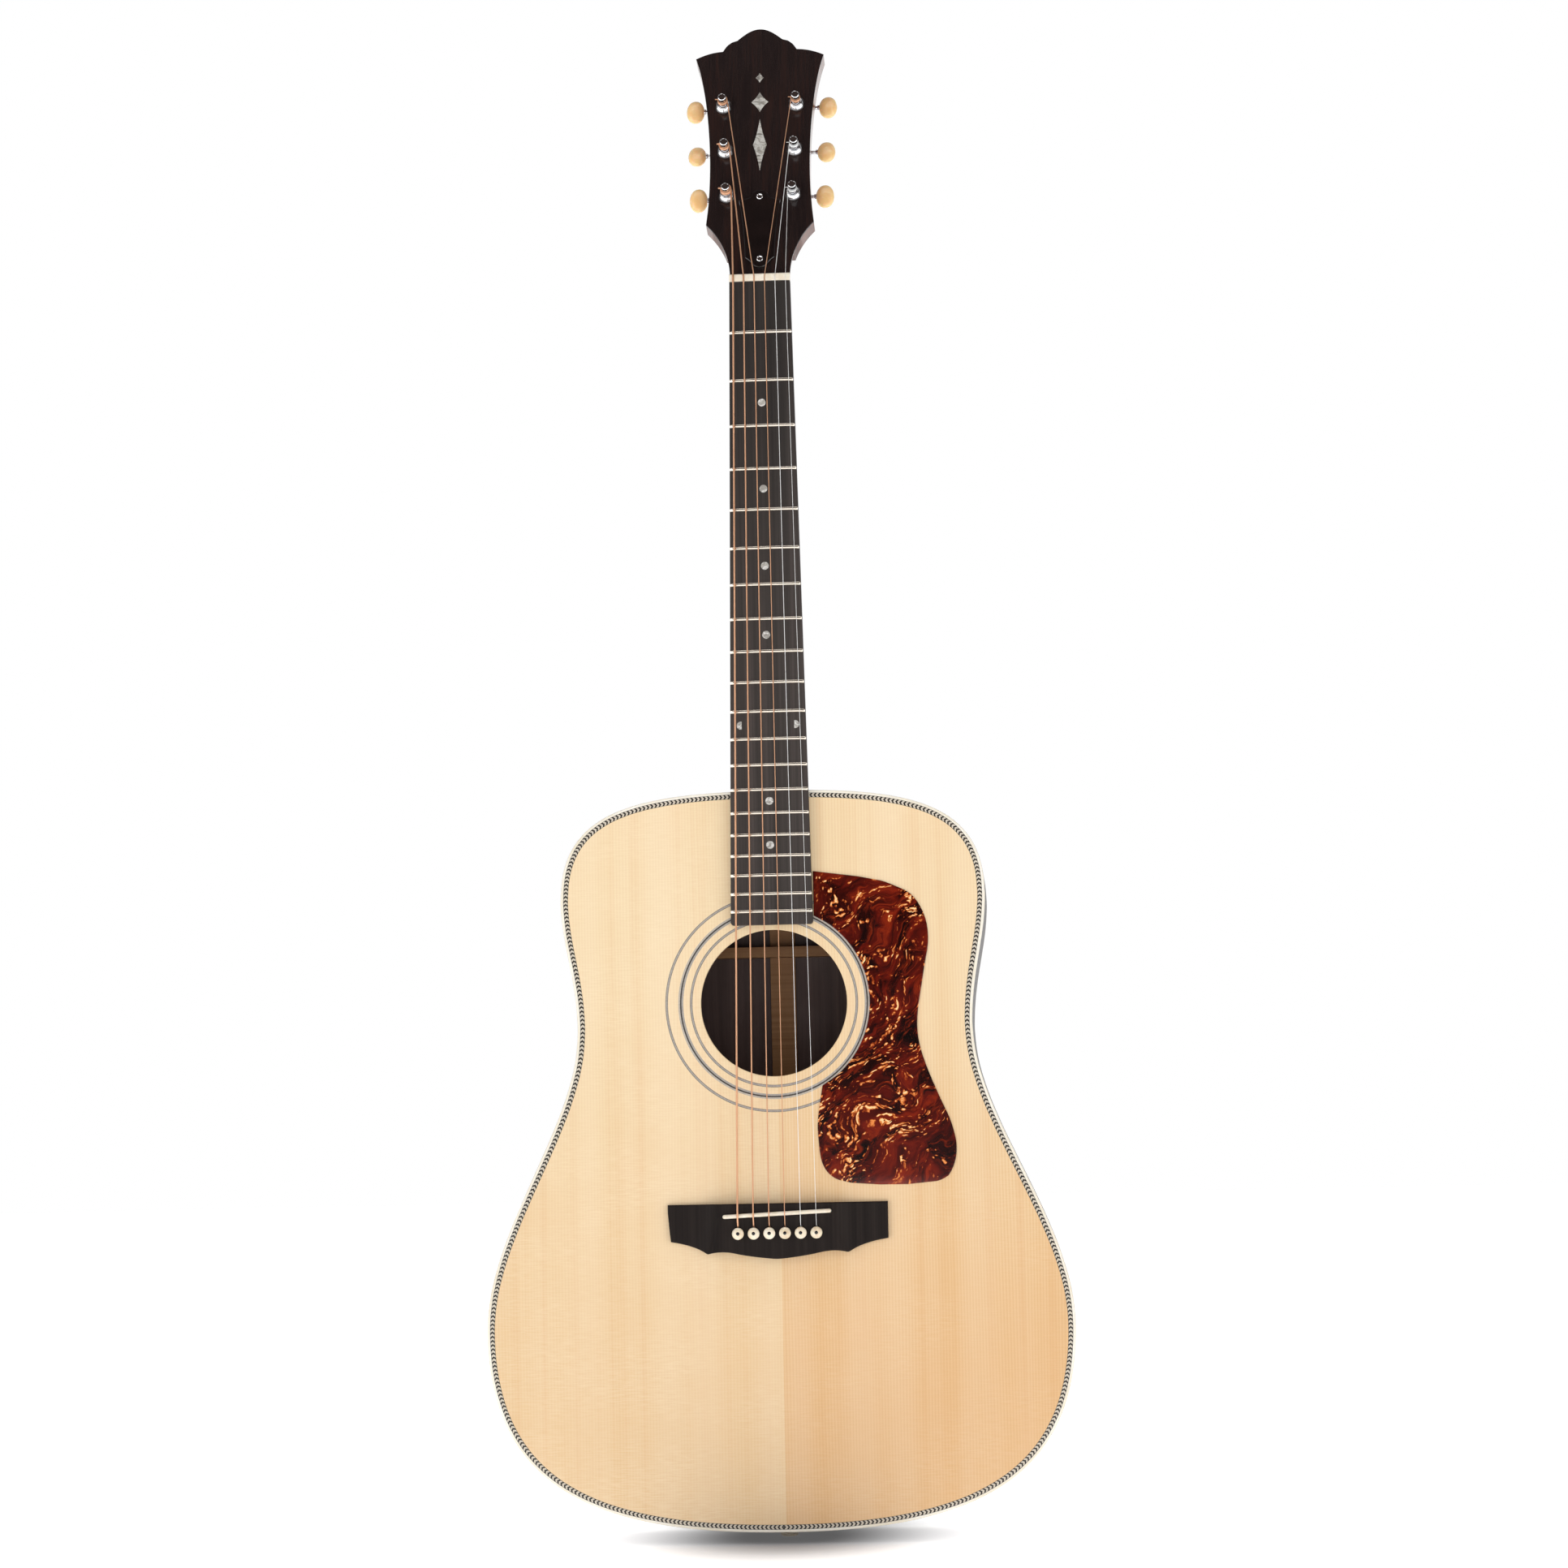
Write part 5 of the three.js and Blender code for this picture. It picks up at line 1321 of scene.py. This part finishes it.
def add_bridge_pins():
    for n in STRING_RADIUS:
        low, high = box(f"bridge_pin_{n}")
        spot = middle(f"bridge_pin_{n}")
        y = BRIDGE_TOP_Y
        profile = [
            (0, high.y), (1.2, high.y), (1.7, high.y - 0.5), (2.45, y + 0.8), (2.5, y - 0.2), (2.75, y - 0.7),
            (3.0, y - 1.25), (3.9, y - 1.6), (4.1, y - 2.0), (4.1, y - 2.4), (3.8, y - 3.0), (3.2, y - 3.5),
            (2.4, low.y + 0.22), (1.2, low.y + 0.05), (1.1, low.y + 0.05), (0, low.y),
        ]

        def material(radius, height):
            """1, for the black dot, in the middle of the head, and 0 elsewhere."""
            return int(radius < PIN_DOT_RADIUS and height < BRIDGE_TOP_Y - 2)

        pin = lathe(profile[::-1], at(spot.x, 0, spot.z), steps=40, material_at=material)
        finished(f"bridge_pin_turned_{n}", pin, [M["pin"], M["black"]], f"bridge_pin_{n}",
                 body=f"bridge_pin_{n}", sharp=50)


# ---------------------------------------------------------------- strings

def string_path(n):
    """From the ball under the bridge plate, over the saddle and the nut, to the post's inner side."""
    r = STRING_RADIUS[n]
    pin = middle(f"bridge_pin_{n}")
    saddle_z = SADDLE_Z + pin.x * SADDLE_DROP / SADDLE_HALF
    on_saddle = saddle_low.y - r - 0.02
    on_nut = nut_low.y - r
    post = POSTS[n]
    inward = -math.copysign(1, post.x)
    on_post = HEAD @ Vector((post.x + inward * (POST_RADIUS + r), WINDING_Y, post.z))
    slot_z = pin.z + 2.8 + r
    points = [
        (pin.x, -52, slot_z + 0.6), (pin.x, -66, slot_z + 0.4), (pin.x, BRIDGE_TOP_Y - 0.6, slot_z + 1.1),
        (pin.x, on_saddle, saddle_z), (nut_x(n), on_nut, NUT_Z + 0.2), (nut_x(n), on_nut, NUT_Z + 3.2),
    ]
    return [Vector(p) for p in points] + [on_post]


def add_strings():
    for n, kind in STRING_KIND.items():
        path = rounded(string_path(n), 2.2)
        line = tube(path, STRING_RADIUS[n], sides=12)
        ball = lathe(STRING_BALL, at(path[0].x, 0, path[0].z), steps=20)
        finished(f"string_line_{n}", merged(line, ball), M[f"{kind}_wire"], f"string_{n}",
                 sharp=50)


def add_windings():
    """The turns of each string round its post, and the short tail that comes out of the post's hole."""
    for n, kind in STRING_KIND.items():
        r = STRING_RADIUS[n]
        inward = -math.copysign(1, POSTS[n].x)
        place = on_head(POSTS[n])
        climb = 2.06 * r * POST_WRAPS[n]
        path = []
        steps = int(POST_WRAPS[n] * 28)
        for k in range(steps + 1):
            turn = 2 * math.pi * POST_WRAPS[n] * k / steps
            y = WINDING_Y - climb * k / steps
            reach = POST_RADIUS + r - 0.35 * math.sin(math.pi * k / steps)
            path.append(place @ Vector((inward * reach * math.cos(turn), y, reach * math.sin(turn))))
        tail_y = WINDING_Y - climb - r - 0.3
        tail = [place @ Vector((x, tail_y, 0.0)) for x in (-POST_RADIUS - 2.2, POST_RADIUS - 0.4)]
        finished(f"string_winding_{n}", merged(tube(path, r), tube(tail, r)), M[f"{kind}_wire"],
                 body=f"string_post_{n}", sharp=60)


# ---------------------------------------------------------------- tuning machines

WORM_Y = worm_pivot.y
WORM_OFFSET = worm_pivot.z - POSTS[6].z
GEAR_TEETH = 14
GEAR_PITCH_RADIUS = 5.2
WORM_PITCH_RADIUS = WORM_OFFSET - GEAR_PITCH_RADIUS
THREAD_PITCH = 2 * math.pi * GEAR_PITCH_RADIUS / GEAR_TEETH
TOOTH_OUT, TOOTH_IN = 0.42, 0.7
GEAR_THICK = 3.0
SHAFT_RADIUS = 1.5
LUG_OFFSET, LUG_THICK = 5.6, 1.6
PLATE_DEPTH, PLATE_THICK = 15.52, 1.45
BUTTON_REACH, BUTTON_LONG = 15.4, 13.0
BUTTON_TALL, BUTTON_THICK = 18.5, 7.4
BUTTON_SPIN = {6: 0, 5: -18, 4: -4, 3: -9, 2: -15, 1: -4}


def add_bushing(n, place):
    bore = POST_RADIUS + 0.2
    profile = [
        (bore, 9), (bore, -3.4), (3.6, -3.6), (4.05, -3.5), (4.5, -3.1), (5.1, -2.2), (5.6, -1.3),
        (5.85, -0.6), (5.9, -0.02), (4.3, -0.02), (4.3, 9),
    ]
    mesh = lofted([round_ring(place, r, y, 56) for r, y in profile + profile[:1]], closed_ends=False)
    bmesh.ops.remove_doubles(mesh, verts=mesh.verts, dist=WELD)
    finished(f"bushing_domed_{n}", mesh, M["chrome"], f"post_bushing_{n}", sharp=40)


def gear_mesh():
    """The post's gear, its teeth turned a little across its thickness to follow the worm's lead."""
    lead = THREAD_PITCH / (2 * math.pi)
    half_twist = lead * math.asin(GEAR_THICK / 2 / WORM_PITCH_RADIUS) / GEAR_PITCH_RADIUS
    corners = [(-0.38, -TOOTH_IN), (-0.30, -TOOTH_IN * 0.5), (-0.13, TOOTH_OUT), (0.13, TOOTH_OUT),
               (0.30, -TOOTH_IN * 0.5), (0.38, -TOOTH_IN)]
    rings = []
    for t, shrink in ((-1, 0.25), (-0.8, 0), (0.8, 0), (1, 0.25)):
        ring = []
        for tooth in range(GEAR_TEETH):
            for share, rise in corners:
                angle = math.pi / 2 + 2 * math.pi * (tooth + 0.5 + share * 0.8) / GEAR_TEETH - t * half_twist
                radius = GEAR_PITCH_RADIUS + rise - shrink
                y = WORM_Y + t * GEAR_THICK / 2
                ring.append(Vector((radius * math.cos(angle), y, radius * math.sin(angle))))
        rings.append(ring)
    return lofted(rings)


def add_post(n, place):
    profile = [
        (0, -13.7), (2.3, -13.7), (2.45, -13.95), (2.7, -14), (2.9, -13.8), (3.0, -13.4), (3.0, -11.2),
        (2.75, -10), (2.65, -8.5), (2.75, -6), (3.0, -4.6), (3.0, WORM_Y - 1.4), (0, WORM_Y - 1.4),
    ]
    post = f"string_post_{n}"
    finished(f"post_turned_{n}", lathe(profile, place), M["chrome"], post, body=post, sharp=40)
    gear = gear_mesh()
    gear.transform(place)
    finished(f"post_gear_{n}", gear, M["gear_brass"], body=post, sharp=30)
    head = screw(place @ at(0, WORM_Y + GEAR_THICK / 2, 0) @ TO_REAR, 2.6, 0.4 + n)
    finished(f"gear_screw_{n}", head, M["steel"], body=post)


def ring_x(place, x, section, sides=36):
    """A ring of points round a line parallel to the worm, from a function of the turn angle."""
    spots = [section(a) for a in turns(sides)]
    return [place @ Vector((x, WORM_Y + dy, WORM_OFFSET + dz)) for dy, dz in spots]


def round_at(radius):
    return lambda a: (radius * math.cos(a), radius * math.sin(a))


def thread_at(along):
    """The worm's section at a distance along it: one crest that winds round the shaft."""
    def section(a):
        turn = along / THREAD_PITCH - (a + math.pi / 2) / (2 * math.pi)
        off = abs(turn - round(turn))
        share = min(max((0.27 - off) / 0.14, 0), 1)
        radius = WORM_PITCH_RADIUS - TOOTH_IN + (TOOTH_IN + TOOTH_OUT) * share
        return radius * math.cos(a), radius * math.sin(a)
    return section


def add_worm(n, place, side):
    shaft = [(-LUG_OFFSET - 1.3, 0.9), (-LUG_OFFSET - 1.2, SHAFT_RADIUS), (-4.5, SHAFT_RADIUS)]
    rings = [ring_x(place, side * reach, round_at(radius)) for reach, radius in shaft]
    for reach in np.linspace(-4.4, 4.4, 64):
        rings.append(ring_x(place, side * reach, thread_at(side * reach)))
    for reach, radius in ((4.5, SHAFT_RADIUS), (14.0, SHAFT_RADIUS), (14.1, 1.9), (14.4, 2.1), (15.6, 2.2)):
        rings.append(ring_x(place, side * reach, round_at(radius)))
    finished(f"worm_shaft_{n}", lofted(rings), M["chrome"], body=f"tuner_button_{n}")


def oval_at(tall, thick, spin):
    """A button's section: an oval of these half sizes, turned by spin."""
    def section(a):
        cy, cz = math.cos(a - spin), math.sin(a - spin)
        y = thick * math.copysign(abs(cy) ** 0.9, cy)
        z = tall * math.copysign(abs(cz) ** 0.95, cz)
        return y * math.cos(spin) - z * math.sin(spin), y * math.sin(spin) + z * math.cos(spin)
    return section


def add_button(n, place, side):
    """A flattened oval knob, fuller at its outer half, turned about its shaft as it happens to stand."""
    spin = math.radians(BUTTON_SPIN[n])
    rings = []
    for u in -np.cos(np.linspace(0, math.pi, 34)):
        s = (u + 1) / 2
        away = min(abs(u), 1)
        tall = max(BUTTON_TALL / 2 * (1 - away**2.15) ** 0.48, 0.5)
        thick = max(BUTTON_THICK / 2 * (1 - away**2.6) ** 0.6 * (0.92 + 0.08 * s), 0.4)
        x = side * (BUTTON_REACH + s * BUTTON_LONG)
        rings.append(ring_x(place, x, oval_at(tall, thick, spin), sides=48))
    knob = f"tuner_button_{n}"
    finished(f"button_moulded_{n}", lofted(rings), M["button"], knob, body=knob, sharp=60)


def add_tuner_plate(n, place):
    """Base plate with rounded corners, two bearing lugs and three mounting screws."""
    corner = 2.6
    loop = []
    for cx, cz, start in ((7 - corner, 15 - corner, 0), (-7 + corner, 15 - corner, 90),
                          (-7 + corner, -9 + corner, 180), (7 - corner, -9 + corner, 270)):
        for k in range(9):
            a = math.radians(start + 90 * k / 8)
            loop.append(Vector((cx + corner * math.cos(a), cz + corner * math.sin(a))))
    rear = PLATE_DEPTH + PLATE_THICK
    hole = circle(0, 0, POST_RADIUS + 0.2, steps=32)
    e = 0.35
    base = slab(loop, [(e, rear), (0, rear - e), (0, PLATE_DEPTH)],
                [(hole, [(0, rear), (0, rear - e), (0, PLATE_DEPTH)])])
    parts = [base]
    for side in (-1, 1):
        arch = [Vector((-2.8, PLATE_DEPTH + 0.4)), Vector((2.8, PLATE_DEPTH + 0.4))]
        arch += [Vector((2.8 * math.cos(a), WORM_Y + 0.2 + 2.8 * math.sin(a)))
                 for a in np.linspace(0, math.pi, 17)]
        x = side * LUG_OFFSET
        rings = [[Vector((x + t * LUG_THICK / 2, q.y, WORM_OFFSET + q.x)) for q in arch] for t in (-1, 1)]
        wide = SHAFT_RADIUS + 0.15
        bore = lathe([(0, -2), (wide, -2), (wide, 2), (0, 2)], at(x, WORM_Y, WORM_OFFSET) @ TO_LEFT, steps=28)
        parts.append(combine(lofted(rings), bore))
    whole = combine(*parts, operation="UNION")
    whole.transform(place)
    finished(f"tuner_base_{n}", whole, M["chrome"], f"tuner_plate_{n}", sharp=30)
    screws = [screw(place @ at(x, rear, z) @ TO_REAR, 1.6, 0.7 * k + n)
              for k, (x, z) in enumerate(((-4.3, -6.2), (4.3, -6.2), (0, 12.9)))]
    finished(f"tuner_screws_{n}", merged(*screws), M["chrome"])


def add_tuners():
    for n, spot in POSTS.items():
        place = on_head(spot)
        side = math.copysign(1, spot.x)
        add_bushing(n, place)
        add_post(n, place)
        add_worm(n, place, side)
        add_button(n, place, side)
        add_tuner_plate(n, place)


# ---------------------------------------------------------------- pieces that keep their CAD shape

CARRIED = {
    "back_bracing": "brace", "top_bracing": "brace", "top_lining": "lining", "back_lining": "lining",
    "neck_block": "lining", "tail_block": "lining", "bridge_plate": "rosewood", "truss_rod": "steel",
}


def add_inner_parts():
    """The pieces inside, whose CAD shapes need only a finish."""
    for node, material in CARRIED.items():
        piece = frame["nodes"][node]
        piece.data.materials.clear()
        piece.data.materials.append(M[material])
        piece.modifiers.new("weld", "WELD").merge_threshold = WELD


# ---------------------------------------------------------------- floor, light and camera

# The painted shadow on the floor under the tail: the half sizes of its ellipse, across and front to back, in
# millimetres.
PAINTED_SHADOW_HALF_WIDE, PAINTED_SHADOW_HALF_DEEP = 140.0, 240.0     # the soft dark patch of floor under the tail


def floor_paper():
    """White paper with a painted soft shadow under the tail: inside an ellipse round it the paper is coloured
    grey and glows less, and away from it the paper glows, as an overexposed backdrop does.
    """
    f = Finish("floor_paper")
    speck = f.noise((300, 300, 300), detail=3.0)
    across = f.math("DIVIDE", f.x, PAINTED_SHADOW_HALF_WIDE)
    along = f.math("DIVIDE", f.y, PAINTED_SHADOW_HALF_DEEP)
    away = f.math("SQRT", f.math("MULTIPLY_ADD", across, across, f.times(along, along)))
    # Painted shadow: grey under the tail and white towards the ellipse's edge. The glow is weak under the
    # tail and full beyond the edge, as part of the same painted shadow.
    tone = f.ramp(away, (0.0, "#8d8b90"), (0.45, "#a9a8ac"), (1.0, "#f7f7f7"))
    return f.done(f.mix(f.times(speck, 0.03), tone, "#e4e4e4"), 0.9, Specular_IOR_Level=0.1,
                  Emission_Color=(1, 1, 1, 1), Emission_Strength=f.span(f.rise(away, 0.2, 1.0), 0.1, 0.95))


def add_floor():
    """A wide pale floor, whose far edge is lost in the white behind the guitar."""
    mesh = bmesh.new()
    bmesh.ops.create_grid(mesh, x_segments=8, y_segments=8, size=40)
    data = mesh_data("floor", mesh)
    data.materials.append(floor_paper())
    linked("floor", data)


def add_light(name, place, target, size, power):
    data = bpy.data.lights.new(name, "AREA")
    data.shape = "RECTANGLE"
    data.size, data.size_y = size
    data.energy = power
    light = linked(name, data)
    light.location = place
    light.rotation_euler = (Vector(target) - Vector(place)).to_track_quat("-Z", "Y").to_euler()
    return light


def add_world():
    """White for the camera. What it lights and what it reflects is pale behind the guitar, dark in front."""
    world = bpy.data.worlds.new("studio")
    bpy.context.scene.world = world
    world.use_nodes = True
    w = Nodes(world.node_tree)
    way = w.node("ShaderNodeTexCoord").outputs["Generated"]
    behind = w.rise(w.node("ShaderNodeSeparateXYZ", Vector=way).outputs["Y"], -0.35, 0.45)
    room = w.mix(behind, (0.045, 0.03, 0.026, 1), (0.4, 0.4, 0.4, 1))
    seen = w.mix(w.node("ShaderNodeLightPath").outputs["Is Camera Ray"], room, (1, 1, 1, 1))
    w.feed(w.tree.nodes["Background"].inputs["Color"], seen)


def add_lights():
    add_world()
    centre = (0, 0, 0.5)
    add_light("left_box", (-2.1, -1.75, 1.15), centre, (1.1, 2.2), 17.8)
    add_light("right_box", (2.3, -1.75, 0.95), centre, (1.1, 2.0), 13.2)
    add_light("overhead", (0.0, -0.9, 2.9), (0, 0, 0.6), (2.4, 0.9), 11.5)
    add_light("rear", (0.4, 2.0, 1.8), centre, (2.2, 1.4), 8)
    # The front light only fills shadows: shiny things don't mirror it.
    add_light("front_fill", (0.35, -3.2, 1.35), centre, (1.8, 1.8), 16).visible_glossy = False


CAMERA_PLACE = (0.1768, -2.6233, 0.2494)
CAMERA_YAW, CAMERA_PITCH, CAMERA_ROLL = 3.723, 6.061, 1.12


def add_camera():
    data = bpy.data.cameras.new("camera")
    data.lens = 85
    data.sensor_width = 36
    camera = linked("camera", data)
    turn = Matrix.Identity(4)
    for axis, angle in (("Z", CAMERA_YAW), ("X", CAMERA_PITCH), ("Y", CAMERA_ROLL), ("X", 90)):
        turn = turn @ Matrix.Rotation(math.radians(angle), 4, axis)
    camera.matrix_world = at(*CAMERA_PLACE) @ turn
    bpy.context.scene.camera = camera


# ---------------------------------------------------------------- assembly

add_soundboard()
add_binding()
add_purfling()
add_sides()
add_back()
add_end_pin()
add_pickguard()
add_neck()
add_veneer()
add_headstock_inlay()
add_truss_cover()
add_fretboard()
add_dots()
add_frets()
add_nut()
add_bridge()
add_saddle()
add_bridge_pins()
add_strings()
add_windings()
add_tuners()
add_inner_parts()
add_floor()
add_lights()
add_camera()
bpy.context.scene.view_settings.view_transform = "Standard"
